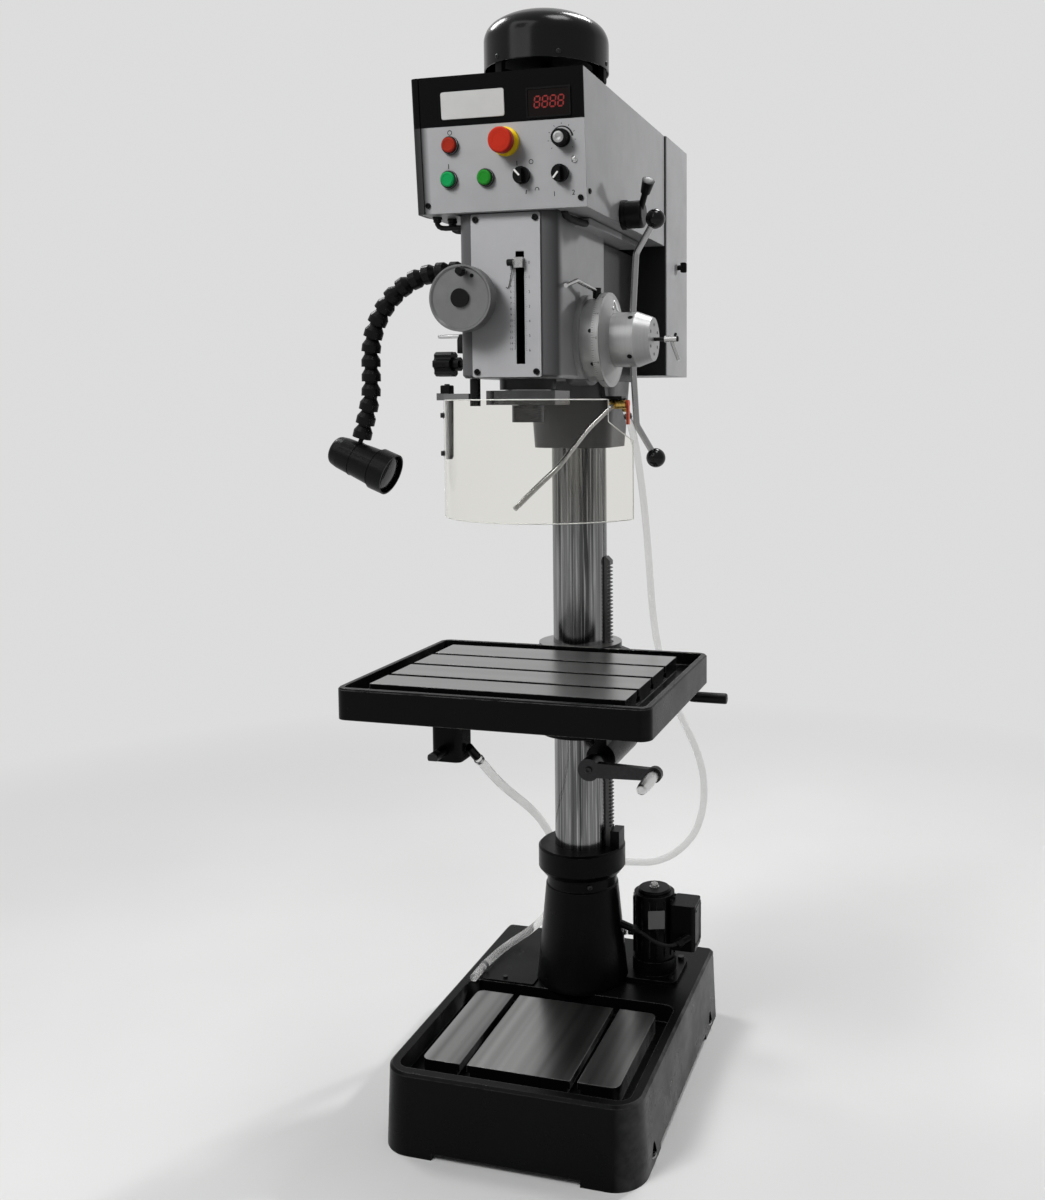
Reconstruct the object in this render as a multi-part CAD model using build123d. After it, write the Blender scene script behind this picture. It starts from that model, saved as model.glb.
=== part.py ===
from build123d import *
from math import acos, asin, atan2, cos, degrees, dist, pi, radians, sin, sqrt, tan
import os

os.makedirs("parts", exist_ok=True)

# Geared-head floor drill press, in millimetres.
# The origin is on the floor at the centre of the four anchor bolts, +Z is up and the operator stands at -Y.

# Fits shared by all pieces
run_clear = 0.05
seat_clear = 0.05
body_gap = 0.4
wide_gap = 1.0
bevel_deg = 45.0

# Main places of the machine
column_r = 57.5
column_y = 117.5
spindle_reach = 298.0
head_bottom_z = 1442.0

# Base casting
base_w = 500.0
base_l = 657.0
base_shift_y = -12.5
base_h = 156.0
base_draft_deg = 2.5
base_front_r = 55.0
base_rear_r = 14.0
base_bevel = 5.0
base_wall = 20.0
rim_w = 22.0
trough_floor_z = 118.0
trough_r = 25.0
trough_floor_t = 20.0
pad_w = 392.0
pad_front_y = -275.0
pad_back_y = 3.5
pad_top_z = 150.5
pad_r = 15.0
base_slot_pitch = 220.0
slot_throat_w = 14.0
slot_head_w = 24.0
slot_head_h = 10.0
slot_depth = 24.0
deck_front_y = 35.5
anchor_pitch_x = 488.0
anchor_pitch_y = 491.0
anchor_hole_r = 8.0
anchor_lug_h = 14.0
anchor_pocket_r = 21.0
anchor_pocket_tip_r = 4.0
anchor_pocket_h = 46.0
recess_h = 12.0
recess_front_l = 290.0
recess_side_l = 400.0
cavity_w = 412.0
cavity_r = 30.0
rib_t = 14.0
core_w = 176.0
core_top_t = 46.0

# Coolant tank in the rear of the base, with its cover
tank_inner_x = 106.0
tank_front_y = 62.0
tank_back_y = 292.0
tank_floor_t = 16.0
deck_t = 18.0
cover_x0 = -203.0
cover_x1 = -86.0
cover_y0 = 37.0
cover_y1 = 300.0
cover_t = 4.0
cover_lap = 14.0

# Column foot, column and rack
foot_bottom_wall = 40.0
foot_top_wall = 20.5
foot_neck_wall = 17.5
foot_rim_h = 9.0
foot_cone_h = 210.0
foot_h = 237.0
column_socket = 20.0
column_wall = 9.0
column_grip = 248.0
ring_wall = 36.0
ring_h = 60.0
ring_bevel = 4.0
ring_skirt_wall = 25.5
ring_skirt_h = 13.0
rack_module = 2.5
rack_w = 22.0
rack_end_space = 2.0
rack_stand = 12.0
rack_back_gap = 0.3
rack_top_z = 1076.0
rack_foot_depth = 30.0
rack_top_bevel = 9.0
lug_w = 40.0
lug_h = 36.0
elevation_teeth = 18
rack_backlash = 0.30

# Table
table_w = 582.0
table_front_y = -403.0
table_back_y = 62.5
table_rim_z = 893.0
table_rim_h = 57.0
table_r = 22.0
table_rim_w = 11.0
table_bevel = 3.0
gutter_depth = 25.0
table_pad_w = 479.0
table_pad_front_y = -366.0
table_pad_back_y = -5.0
table_pad_rise = 3.0
table_slot_mid_y = -193.0
table_slot_pitch = 95.5
table_under_t = 42.0
under_wall = 26.0
hub_wall = 30.5
hub_l = 193.0
web_half_w = 185.0
web_back_half_w = 78.0
web_back = 50.5
web_h = 40.0
elevation_drop = 207.0
elevation_shaft_r = 12.0
elevation_boss_r = 31.0
elevation_boss_front_y = -30.0
elevation_boss_back_y = 142.0
elevation_web_t = 26.0
pinion_w = 28.0
clamp_stand = 20.0
clamp_drop = 117.0
clamp_slit = 11.0
clamp_bolt_r = 8.0
clamp_ear_t = 26.0
clamp_ear_r = 19.0
clamp_lever_l = 190.0
clamp_lever_r = 8.0
clamp_hub_r = 16.0
clamp_hub_l = 20.0
clamp_tip_r = 11.0
drain_x = -151.0
drain_y = -212.0
drain_w = 60.0
drain_drop = 171.0
drain_barb_l = 34.0
drain_r = 12.0
cock_r = 10.0
cock_l = 46.0
cock_plug_r = 5.0
cock_plug_l = 23.0
cock_flat = 6.0
cock_flat_l = 18.4
cock_x = -156.0
cock_drop = 150.0

# Table crank
crank_hub_r = 22.0
crank_hub_l = 34.0
crank_hub_y = -110.0
crank_throw = 131.0
crank_arm_h = 30.0
crank_arm_tip_h = 22.0
crank_arm_t = 15.0
crank_eye_r = 15.0
crank_handle_r = 12.0
crank_handle_waist_r = 9.5
crank_handle_round = 5.0
crank_handle_l = 92.0
crank_pin_r = 6.0

# Head casting
head_half_w = 95.0
head_front_reach = 103.0
head_back_reach = 195.5
head_rear_half_w = 84.0
head_rear_back = 118.5
head_shoulder_h = 270.0
head_h = 388.0
head_corner_r = 28.0
head_bevel = 5.0
boss_h = 136.0
boss_wall_x = 24.5
boss_wall_y = 35.5
boss_shift_y = 10.0
boss_r = 46.0
boss_draft_deg = 4.0
gland_wall = 10.0
gland_h = 20.0
chamber_wall = 17.0
chamber_end_wall = 15.5
chamber_floor_rise = 258.0
chamber_r = 20.0
rail_w = 30.0
rail_h = 12.0
rail_gap = 2.0
rail_front_y = -190.0
rail_back_y = 165.0
plate_w = 130.0
plate_rise = 1.0
plate_h = 286.0
plate_t = 3.0
plate_r = 4.0
scale_x = 27.0
scale_slot_w = 16.0
scale_slot_rise = 24.0
scale_slot_l = 196.0

# Quill and spindle
quill_r = 42.5
quill_wall = 9.5
quill_drop = 22.0
quill_l = 270.0
collar_w = 134.0
collar_h = 26.0
collar_chamfer = 26.0
feed_module = 2.0
feed_teeth = 18
feed_backlash = 0.25
feed_rise = 72.0
feed_face_w = 26.0
feed_rack_rise = 54.0
spindle_r = 19.0
spindle_nose_r = 30.5
spindle_nose_l = 31.6
spline_l = 200.0
spline_r = 17.0
spline_flat = 14.5
taper_r = 15.63
taper_small_r = 12.94
taper_depth = 103.0
bearing_h = 20.0
pointer_rise = 200.0
pointer_sink = 10.6
pointer_h = 18.0
pointer_arm_h = 10.0
pointer_proud = 9.0
pointer_knob_r = 6.0
pointer_knob_l = 12.0

# Gear train
gear_module = 2.0
dedendum = 1.25
same_point = 0.001
pressure_deg = 20.0
gear_backlash = 0.24
motor_teeth = 18
first_teeth = 36
low_teeth = 20
low_spindle_teeth = 44
gear_w = 16.0
low_gear_rise = 8.0
high_cluster_rise = 30.0
high_spindle_rise = 50.0
first_gear_rise = 72.0
motor_pinion_rise = 70.0
motor_pinion_w = 40.0
cluster_shaft_r = 11.0
cluster_seat = 12.0
sleeve_r = 24.0
sleeve_rise = 2.0
sleeve_l = 68.0

# Motor
flange_t = 12.0
flange_edge = 6.0
motor_r = 88.0
motor_l = 170.0
motor_end_t = 16.0
rib_count = 24
rib_w = 4.0
rib_rise = 5.0
rib_start = 73.0
turret_r = 25.0
turret_wall = 5.0
turret_h = 56.0
rotor_r = 58.0
rotor_gap = 8.0
motor_shaft_r = 11.0
fan_r = 88.0
fan_stand = 22.0
fan_plate_t = 4.0
fan_blade_h = 22.0
fan_blade_t = 3.0
fan_blades = 8
fan_hub_r = 22.0
cowl_r = 119.0
cowl_stand = 12.0
cowl_skirt_h = 52.0
cowl_h = 107.0
cowl_shoulder_r = 40.0
cowl_turn_deg = 55.0
cowl_t = 2.0
cowl_lugs = 3
cowl_lug_w = 18.0
cowl_lug_t = 8.0
cowl_tab_t = 5.0
cowl_tab_drop = 16.0
cowl_tab_rise = 34.0

# Control box, panel and rear cabinet
box_over = 60.5
box_rise = 289.0
box_h = 230.0
box_front_over = 17.0
box_left_r = 14.0
box_lean = 19.0
panel_t = 3.0
sheet_t = 2.0
box_cut_gap = 2.0
cabinet_over = 4.5
cabinet_d = 194.0
cabinet_rise = 14.0
cabinet_corner_r = 4.0
cabinet_window_w = 110.0
cabinet_window_rise = 64.0
cabinet_window_h = 170.0
cabinet_knob_back = 102.0
cabinet_knob_rise = 240.0
cabinet_knob_r = 11.0
cabinet_knob_l = 20.0
cabinet_neck_r = 5.5
cabinet_neck_l = 10.0
cabinet_wing_t = 7.0
cabinet_wing_l = 13.5
cabinet_stud_r = 3.5

# Controls on the panel, by place across and height
button_low_rise = 57.0
button_high_rise = 114.5
stop_x = -91.0
start_x = -96.0
reverse_x = -27.0
estop_x = 13.0
speed_x = 114.5
selector_left_x = 40.5
selector_right_x = 110.5
button_r = 13.0
button_ring_r = 15.5
button_ring_h = 5.0
button_proud = 10.0
button_round = 2.0
button_travel = 4.0
stem_r = 8.0
stem_l = 14.0
estop_r = 22.0
estop_collar_r = 24.5
estop_collar_h = 11.0
estop_head_h = 16.0
estop_round = 4.0
estop_stem_l = 8.0
estop_travel = 5.0
selector_r = 15.0
selector_h = 8.0
selector_grip_w = 9.0
selector_grip_l = 25.5
selector_grip_r = 3.0
selector_grip_h = 11.0
speed_r = 14.0
speed_h = 15.0
speed_skirt_r = 15.5
speed_skirt_h = 4.0
knob_gap = 0.5

# Feed unit on the right of the head
feed_boss_r = 84.0
feed_boss_l = 10.0
feed_drum_r = 76.5
feed_drum_l = 26.0
feed_shaft_r = 14.0
feed_shaft_x0 = -58.0
dial_r = 87.5
dial_rim_w = 13.0
dial_hub_r = 53.0
dial_hub_w = 9.0
hub_barrel_r = 50.5
hub_barrel_l = 44.0
hub_nose_r = 40.0
hub_nose_l = 29.0
lever_rod_r = 6.0
lever_bend_r = 158.0
lever_lean = 6.0
lever_kick = 37.0
lever_reach = 219.0
lever_root_r = 30.0
lever_bend_fillet = 22.0
lever_root_in = 33.0
lever_root_fillet = 88.0
ball_r = 18.0
end_rod_r = 3.5
end_rod_l = 20.0
end_barrel_r = 6.0
end_barrel_l = 23.0
end_arm_out = 15.0
end_arm_drop = 39.0
lock_pivot_inset = 11.0
lock_pivot_front = 11.0
lock_post_r = 8.0
lock_post_h = 20.0
lock_rod_r = 4.0
lock_bend_r = 12.0
lock_mid_inset = 23.0
lock_mid_front = 92.0
lock_mid_rise = 102.0
lock_tip_inset = 25.0
lock_tip_front = 148.0
lock_tip_rise = 88.0

# Fine feed handwheel and quill lock on the left
wheel_x = -68.0
wheel_rise = 138.0
wheel_r = 58.0
wheel_t = 28.0
wheel_stand = 48.5
wheel_dish = 3.0
wheel_rim_w = 3.0
wheel_shaft_r = 9.0
wheel_shaft_in = 93.5
worm_r = 13.0
worm_l = 46.0
wheel_boss_r = 16.5
wheel_boss_h = 5.0
grip_x = -60.0
grip_rise = 44.0
grip_r = 9.0
grip_l = 26.0
grip_foot_r = 5.4
grip_swell = 15.6
grip_end_r = 6.3
grip_stem_r = 4.5
grip_stem_l = 8.5
quill_lock_rise = 29.0
quill_lock_r = 7.0
star_r = 24.0
star_l = 34.0
star_stand = 70.0
star_lobes = 6
star_lobe_r = 7.0
star_lobe_out = 2.3
star_neck_r = 13.0

# Gear lever on the right of the control box
gear_lever_y = -83.0
gear_lever_rise = 17.5
gear_hub_r = 25.5
gear_hub_l = 42.0
gear_hub_round = 6.0
gear_collar_r = 27.5
gear_collar_l = 9.0
gear_shaft_r = 9.0
gear_shaft_x0 = 62.0
gear_arm_r = 6.0
gear_arm_inset = 4.0
gear_arm_l = 76.0
gear_arm_out_deg = 23.6
gear_arm_front_deg = 41.0
gear_knob_r = 12.0
gear_knob_neck_r = 9.0
gear_knob_l = 26.0

# Guard
guard_pivot_x = -84.0
guard_pivot_y = -232.0
guard_stud_r = 6.0
guard_washer_r = 9.6
guard_stud_depth = 30.0
guard_arm_drop = 44.0
guard_arm_h = 12.0
guard_arm_w = 18.0
guard_block_w = 22.0
guard_block_h = 26.0
shield_mid_x = 24.0
shield_end_y = -202.5
shield_chord = 370.0
shield_depth = 130.0
shield_t = 3.0
shield_drop = 39.0
shield_h = 216.0
strip_w = 20.0
strip_t = 6.0
strip_h = 110.0
lever_room = 2.0

# Lamp
lamp_y = -212.0
lamp_rise = 198.0
lamp_base_r = 26.0
lamp_base_l = 14.0
lamp_start_l = 41.0
lamp_bend_r = 155.0
lamp_drop_l = 55.0
lamp_lean_deg = 15.7
lamp_lean_r = 120.0
lamp_last_l = 68.0
lamp_links = 16
link_r = 18.0
link_plug_r = 12.0
link_plug_gap = 0.7
link_nest = 3.0
link_flare = 3.5
link_tilt_room = 3.0
link_gap = 0.2
lamp_tilt_deg = 22.0
lamp_rear_r = 27.0
lamp_rear_round = 11.0
lamp_body_r = 33.0
lamp_mouth_r = 40.5
lamp_l = 128.0
lamp_dome_l = 20.0
lamp_rim_l = 30.0
lamp_rim_step = 2.0
lamp_wall = 3.0
lamp_cup_depth = 10.0
lamp_neck_along = 46.0
lamp_ball_r = 5.6
lamp_pin_r = 4.5
lamp_neck_up = 42.0

# Coolant valve and nozzle
valve_x = 106.0
valve_y = 52.0
valve_drop = 46.0
valve_r = 11.0
valve_l = 34.0
bracket_t = 8.0
bracket_w = 30.0
valve_stem_r = 4.0
valve_stem_l = 8.0
valve_socket_l = 22.0
valve_eye_r = 7.2
valve_lever_l = 42.0
valve_lever_w = 9.0
valve_lever_t = 5.0
nozzle_r = 3.5
nozzle_bend_r = 120.0
nozzle_socket_r = 6.0
nozzle_tip_r = 4.8
nozzle_tip_l = 16.0
nozzle_points = [
    (97, 36, 1391), (88, -12, 1370), (79, -66, 1347), (78, -122, 1325), (79, -178, 1306), (74, -229, 1280),
    (50, -268, 1250), (20.5, -307.5, 1211),
]

# Pump on the right of the deck
pump_x = 146.0
pump_y = 176.0
pump_plate_w = 124.0
pump_plate_t = 8.0
pump_base_r = 48.0
pump_base_h = 30.0
pump_motor_r = 44.0
pump_motor_top_z = 336.0
pump_cap_r = 36.0
pump_cap_h = 9.0
pump_inlet_r = 34.0
pump_inlet_l = 96.0
pump_fins = 16
pump_fin_w = 3.0
pump_fin_rise = 3.0
terminal_w = 56.0
terminal_d = 66.0
terminal_z0 = 222.0
terminal_z1 = 322.0
terminal_r = 8.0
outlet_r = 9.0
outlet_foot_r = 13.5
outlet_nut_l = 18.0
outlet_x = 104.0
barb_r = 6.5
bolt_head_r = 7.0
bolt_head_h = 8.0
cover_screw_r = 4.9
cover_screw_h = 4.0
set_screw_rises = (34.0, 94.0)

# Hoses and cable, with the points that their routes were chosen by
bend_share = 0.45
supply_hose_r = 7.5
drain_hose_r = 8.5
cable_r = 4.0
gland_barrel_r = 8.0
gland_barrel_l = 24.0
supply_points = [
    (72, 228, 212), (40, 228, 212), (6, 228, 231), (-12, 228, 267), (-12, 228, 314), (9, 228, 352),
    (46, 228, 371), (90, 228, 374), (134, 227, 379), (182, 223, 404), (226, 220, 452), (247, 218, 515),
    (248, 217.5, 580), (236, 217, 632), (216, 217, 678), (191, 217.5, 724), (169, 218, 776),
    (152, 218, 834),
    (138.5, 217.5, 894), (131, 215, 968), (127.5, 209, 1045), (125.5, 196, 1120), (124.5, 175, 1190),
    (124, 148, 1252), (123.5, 121, 1306), (121.5, 97, 1342), (119, 81, 1366), (116, 71, 1383),
]
drain_points = [
    (-108, -194, 722), (-100, -166, 692), (-101, -118, 656), (-104, -56, 616), (-104, 14, 572),
    (-102, 84, 526), (-98, 144, 476), (-94, 192, 422), (-92, 226, 364), (-98, 245, 304), (-114, 250, 250),
    (-140, 247, 207), (-170, 233, 181), (-192, 200, 172), (-204, 150, 171), (-211, 95, 170.5),
    (-215, 50, 167.5), (-216, 21, 165.4),
]
cable_points = [
    (116, 117.5, 271), (136, 116.5, 265), (158, 113, 252), (181, 113, 244), (202, 120, 243),
    (216, 134, 248),
]

# Derived places along the machine
spindle_y = column_y - spindle_reach
motor_offset = gear_module * (motor_teeth + first_teeth + low_teeth + low_spindle_teeth) / 2
high_teeth = (low_teeth + low_spindle_teeth) // 2
motor_y = spindle_y + motor_offset
cluster_y = motor_y - gear_module * (motor_teeth + first_teeth) / 2
head_front_y = spindle_y - head_front_reach
head_step_y = spindle_y + head_back_reach
head_rear_y = column_y + head_rear_back
chamber_front_y = head_front_y + chamber_end_wall
chamber_back_y = head_step_y - chamber_end_wall
chamber_half_w = head_half_w - chamber_wall
box_half_w = head_half_w + box_over
box_front_bottom_y = head_front_y - box_front_over
cabinet_half_w = box_half_w + cabinet_over
cabinet_back_y = head_rear_y + cabinet_d
cabinet_knob_y = head_rear_y + cabinet_knob_back
wheel_face_y = head_front_y - wheel_stand
wheel_shaft_back_y = head_front_y + wheel_shaft_in
star_mid_x = -head_half_w - star_stand

# Derived heights
column_top_z = head_bottom_z + column_grip
foot_top_z = base_h + foot_h
ring_z = foot_top_z + body_gap
ring_top_z = ring_z + ring_h
rack_bottom_z = ring_top_z - rack_foot_depth
table_pad_z = table_rim_z + table_pad_rise
table_bottom_z = table_rim_z - table_rim_h
gutter_z = table_rim_z - gutter_depth
hub_bottom_z = table_rim_z - hub_l
elevation_z = table_rim_z - elevation_drop
clamp_z = table_rim_z - clamp_drop
drain_bottom_z = table_rim_z - drain_drop
cock_z = table_rim_z - cock_drop
boss_bottom_z = head_bottom_z - boss_h
head_shoulder_z = head_bottom_z + head_shoulder_h
head_top_z = head_bottom_z + head_h
chamber_floor_z = head_bottom_z + chamber_floor_rise
plate_bottom_z = head_bottom_z + plate_rise
plate_top_z = plate_bottom_z + plate_h
scale_slot_z0 = head_bottom_z + scale_slot_rise
scale_slot_z1 = scale_slot_z0 + scale_slot_l
quill_bottom_z = head_bottom_z - quill_drop
quill_top_z = quill_bottom_z + quill_l
nose_top_z = quill_bottom_z - collar_h - body_gap
spindle_nose_z = nose_top_z - spindle_nose_l
feed_z = head_bottom_z + feed_rise
feed_rack_z0 = head_bottom_z + feed_rack_rise
pointer_z = head_bottom_z + pointer_rise
low_gear_z = chamber_floor_z + low_gear_rise
high_cluster_z = chamber_floor_z + high_cluster_rise
high_spindle_z = chamber_floor_z + high_spindle_rise
first_gear_z = chamber_floor_z + first_gear_rise
motor_pinion_z = chamber_floor_z + motor_pinion_rise
cluster_shaft_z0 = chamber_floor_z - cluster_seat
sleeve_z0 = chamber_floor_z + sleeve_rise
sleeve_z1 = sleeve_z0 + sleeve_l
motor_seat_z = head_top_z + flange_t
motor_top_z = motor_seat_z + motor_l
rib_z0 = motor_seat_z + rib_start
turret_top_z = motor_seat_z + turret_h
fan_z = motor_top_z + fan_stand
cowl_bottom_z = motor_top_z + cowl_stand
cowl_top_z = cowl_bottom_z + cowl_h
box_bottom_z = head_bottom_z + box_rise
box_top_z = box_bottom_z + box_h
button_low_z = box_bottom_z + button_low_rise
button_high_z = box_bottom_z + button_high_rise
cabinet_bottom_z = head_bottom_z + cabinet_rise
cabinet_window_z0 = cabinet_bottom_z + cabinet_window_rise
cabinet_window_z1 = cabinet_window_z0 + cabinet_window_h
cabinet_knob_z = cabinet_bottom_z + cabinet_knob_rise
wheel_z = head_bottom_z + wheel_rise
quill_lock_z = head_bottom_z + quill_lock_rise
gear_lever_z = box_bottom_z + gear_lever_rise
guard_arm_z = head_bottom_z - guard_arm_drop
shield_z1 = head_bottom_z - shield_drop
shield_z0 = shield_z1 - shield_h
strip_z0 = shield_z1 - strip_h
lamp_z = head_bottom_z + lamp_rise
valve_z = head_bottom_z - valve_drop
set_screw_z = [boss_bottom_z + rise for rise in set_screw_rises]

# Derived sizes
foot_bottom_r = column_r + foot_bottom_wall
foot_top_r = column_r + foot_top_wall
foot_neck_r = column_r + foot_neck_wall
ring_r = column_r + ring_wall
ring_skirt_r = column_r + ring_skirt_wall
hub_r = column_r + hub_wall
clamp_x = hub_r + clamp_stand
web_back_y = column_y + web_back
boss_w = 2 * (column_r + boss_wall_x)
boss_l = 2 * (column_r + boss_wall_y)
gland_r = quill_r + gland_wall
quill_bore_r = quill_r - quill_wall
feed_pitch_r = feed_module * feed_teeth / 2
feed_y = spindle_y + quill_r - feed_module + feed_pitch_r
feed_drum_end_x = head_half_w + feed_boss_l + feed_drum_l
lock_pivot_x = feed_drum_end_x - lock_pivot_inset
lock_pivot_y = feed_y - lock_pivot_front
lock_mid = (feed_drum_end_x - lock_mid_inset, feed_y - lock_mid_front, feed_z + lock_mid_rise)
lock_tip = (feed_drum_end_x - lock_tip_inset, feed_y - lock_tip_front, feed_z + lock_tip_rise)
elevation_pitch_r = rack_module * elevation_teeth / 2
rack_tip_x = column_r + rack_stand
elevation_x = rack_tip_x - rack_module + elevation_pitch_r
lean_deg = degrees(atan2(box_lean, box_h))
shield_r = ((shield_chord / 2) ** 2 + shield_depth ** 2) / (2 * shield_depth)
shield_mid_y = shield_end_y - shield_depth + shield_r
bottom_grow = base_h * tan(radians(base_draft_deg))


# Plain solids placed by their limits
def block(x0, x1, y0, y1, z0, z1):
    return Pos((x0 + x1) / 2, (y0 + y1) / 2, (z0 + z1) / 2) * Box(x1 - x0, y1 - y0, z1 - z0)


def along_x(x0, x1, y, z, r):
    return Pos((x0 + x1) / 2, y, z) * Rot(0, 90, 0) * Cylinder(r, x1 - x0)


def along_y(x, y0, y1, z, r):
    return Pos(x, (y0 + y1) / 2, z) * Rot(90, 0, 0) * Cylinder(r, y1 - y0)


def along_z(x, y, z0, z1, r):
    return Pos(x, y, (z0 + z1) / 2) * Cylinder(r, z1 - z0)


def rounded_block(w, length, r, y, z0, z1, x=0.0):
    return extrude(Pos(x, y, z0) * RectangleRounded(w, length, r), z1 - z0)


def prism_y(points, y0, y1):
    """A solid with the outline given in X and Z, from y0 to y1."""
    outline = make_face(Polyline(*[(x, 0, z) for x, z in points], close=True))
    return Pos(0, y0, 0) * extrude(outline, y1 - y0, dir=(0, 1, 0))


def prism_x(points, x0, x1):
    """A solid with the outline given in Y and Z, from x0 to x1."""
    outline = make_face(Polyline(*[(0, y, z) for y, z in points], close=True))
    return Pos(x0, 0, 0) * extrude(outline, x1 - x0, dir=(1, 0, 0))


def turned(points, axis):
    """A solid of revolution about Z from an outline of radius and height, stood on the given location."""
    outline = make_face(Polyline(*[(r, 0, h) for r, h in points], close=True))
    return axis * revolve(outline, Axis.Z)


def rod(points, r, bends):
    """A round rod along straight runs joined by arcs of the given radii."""
    path = FilletPolyline(*points, radius=bends) if len(points) > 2 else Line(*points)
    section = Plane(origin=path @ 0, z_dir=path % 0) * Circle(r)
    return sweep(section, path)


def facing_x(x, y, z):
    return Pos(x, y, z) * Rot(0, 90, 0)


def facing_front(x, y, z):
    return Pos(x, y, z) * Rot(90, 0, 0)


# Gear teeth
def involute(angle):
    return tan(angle) - angle


def gear(module, teeth, face_w, backlash, tooth_deg, bore_r):
    """A spur gear standing on XY, with one tooth centred at tooth_deg."""
    pitch_r = module * teeth / 2
    base_r = pitch_r * cos(radians(pressure_deg))
    tip_r = pitch_r + module
    root_r = pitch_r - dedendum * module
    half_pitch = pi / (2 * teeth) - backlash / (2 * pitch_r) + involute(radians(pressure_deg))

    def half_angle(r):
        return half_pitch - involute(acos(min(1.0, base_r / r)))

    flank = [max(base_r, root_r), pitch_r, tip_r]
    side = [(root_r, half_angle(flank[0]))] + [(r, half_angle(r)) for r in flank]
    points = []
    for tooth in range(teeth):
        middle = radians(tooth_deg) + 2 * pi * tooth / teeth
        for r, a in side:
            points.append((r * cos(middle - a), r * sin(middle - a)))
        for r, a in reversed(side):
            points.append((r * cos(middle + a), r * sin(middle + a)))
    distinct = [p for i, p in enumerate(points) if dist(p, points[i - 1]) > same_point]
    body = extrude(make_face(Polyline(*distinct, close=True)), face_w)
    return body - Pos(0, 0, face_w / 2) * Cylinder(bore_r, 2 * face_w) if bore_r else body


def rack_gap(module, backlash):
    """Half widths of a rack's gap at its tip line and at its root."""
    half = pi * module / 4 + backlash / 2
    slope = tan(radians(pressure_deg))
    return half + module * slope, half - dedendum * module * slope


# Base, tank cover, foot and column
def base_outline(grow, z):
    w = base_w + 2 * grow
    length = base_l + 2 * grow
    face = Rectangle(w, length)
    front = face.vertices().sort_by(Axis.Y)[:2]
    face = fillet(front, base_front_r + grow)
    rear = face.vertices().sort_by(Axis.Y)[-2:]
    face = fillet(rear, base_rear_r + grow)
    return Pos(0, base_shift_y, z) * face


def t_slot_y(x, y0, y1, top_z):
    throat = block(x - slot_throat_w / 2, x + slot_throat_w / 2, y0, y1, top_z - slot_depth, top_z)
    floor_z = top_z - slot_depth
    return throat + block(x - slot_head_w / 2, x + slot_head_w / 2, y0, y1, floor_z, floor_z + slot_head_h)


def t_slot_x(y, x0, x1, top_z):
    return Rot(0, 0, 90) * t_slot_y(y, -x1, -x0, top_z)


def anchor_places():
    return [(sx * anchor_pitch_x / 2, sy * anchor_pitch_y / 2) for sx in (-1, 1) for sy in (-1, 1)]


def base_casting():
    front_y = base_shift_y - base_l / 2
    back_y = base_shift_y + base_l / 2
    slope = tan(radians(base_draft_deg))
    bevel_z = base_h - base_bevel
    body = loft([base_outline(bottom_grow, 0), base_outline(base_bevel * slope, bevel_z)], ruled=True)
    body += loft([base_outline(base_bevel * slope, bevel_z), base_outline(-base_bevel, base_h)], ruled=True)
    trough_l = deck_front_y - front_y - rim_w
    trough_y = front_y + rim_w + trough_l / 2
    body -= rounded_block(base_w - 2 * rim_w, trough_l, trough_r, trough_y, trough_floor_z, base_h)
    pad_l = pad_back_y - pad_front_y
    pad = rounded_block(pad_w, pad_l, pad_r, (pad_front_y + pad_back_y) / 2, trough_floor_z, pad_top_z)
    for side in (-1, 1):
        pad -= t_slot_y(side * base_slot_pitch / 2, pad_front_y, pad_back_y, pad_top_z)
    body += pad
    cavity_l = deck_front_y - front_y - 2 * base_wall
    cavity_y = front_y + base_wall + cavity_l / 2
    cavity = rounded_block(cavity_w, cavity_l, cavity_r, cavity_y, 0, trough_floor_z - trough_floor_t)
    cavity -= block(-rib_t / 2, rib_t / 2, front_y, back_y, 0, base_h)
    cavity -= block(-base_w / 2, base_w / 2, cavity_y - rib_t / 2, cavity_y + rib_t / 2, 0, base_h)
    body -= cavity
    core_y = (tank_front_y + tank_back_y) / 2
    body -= rounded_block(core_w, tank_back_y - tank_front_y, cavity_r, core_y, 0, base_h - core_top_t)
    for side in (-1, 1):
        mid = side * (tank_inner_x + base_w / 2 - base_wall) / 2
        tank_w = base_w / 2 - base_wall - tank_inner_x
        tank_l = tank_back_y - tank_front_y
        body -= rounded_block(tank_w, tank_l, cavity_r, core_y, tank_floor_t, base_h - deck_t, mid)
    opening_w = -tank_inner_x - cover_x0 - 2 * cover_lap
    opening_x = (cover_x0 - tank_inner_x) / 2
    body -= rounded_block(opening_w, tank_back_y - tank_front_y - 2 * cover_lap, cover_lap, core_y,
                          base_h / 2, base_h, opening_x)
    body -= along_z(pump_x, pump_y, base_h / 2, base_h, pump_inlet_r + wide_gap)
    body -= block(-recess_front_l / 2, recess_front_l / 2, front_y - base_wall, back_y + base_wall, 0,
                  recess_h)
    body -= block(-base_w, base_w, -recess_side_l / 2, recess_side_l / 2, 0, recess_h)
    for x, y in anchor_places():
        body -= along_z(x, y, 0, anchor_lug_h, anchor_hole_r)
        pocket = Cone(anchor_pocket_r, anchor_pocket_tip_r, anchor_pocket_h)
        body -= Pos(x, y, anchor_lug_h + anchor_pocket_h / 2) * pocket
    return body


def reservoir_cover():
    w = cover_x1 - cover_x0
    length = cover_y1 - cover_y0
    plate = rounded_block(w, length, cover_t, (cover_y0 + cover_y1) / 2, base_h, base_h + cover_t,
                          (cover_x0 + cover_x1) / 2)
    return plate - along_z(0, column_y, base_h, base_h + cover_t, foot_bottom_r + wide_gap)


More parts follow.
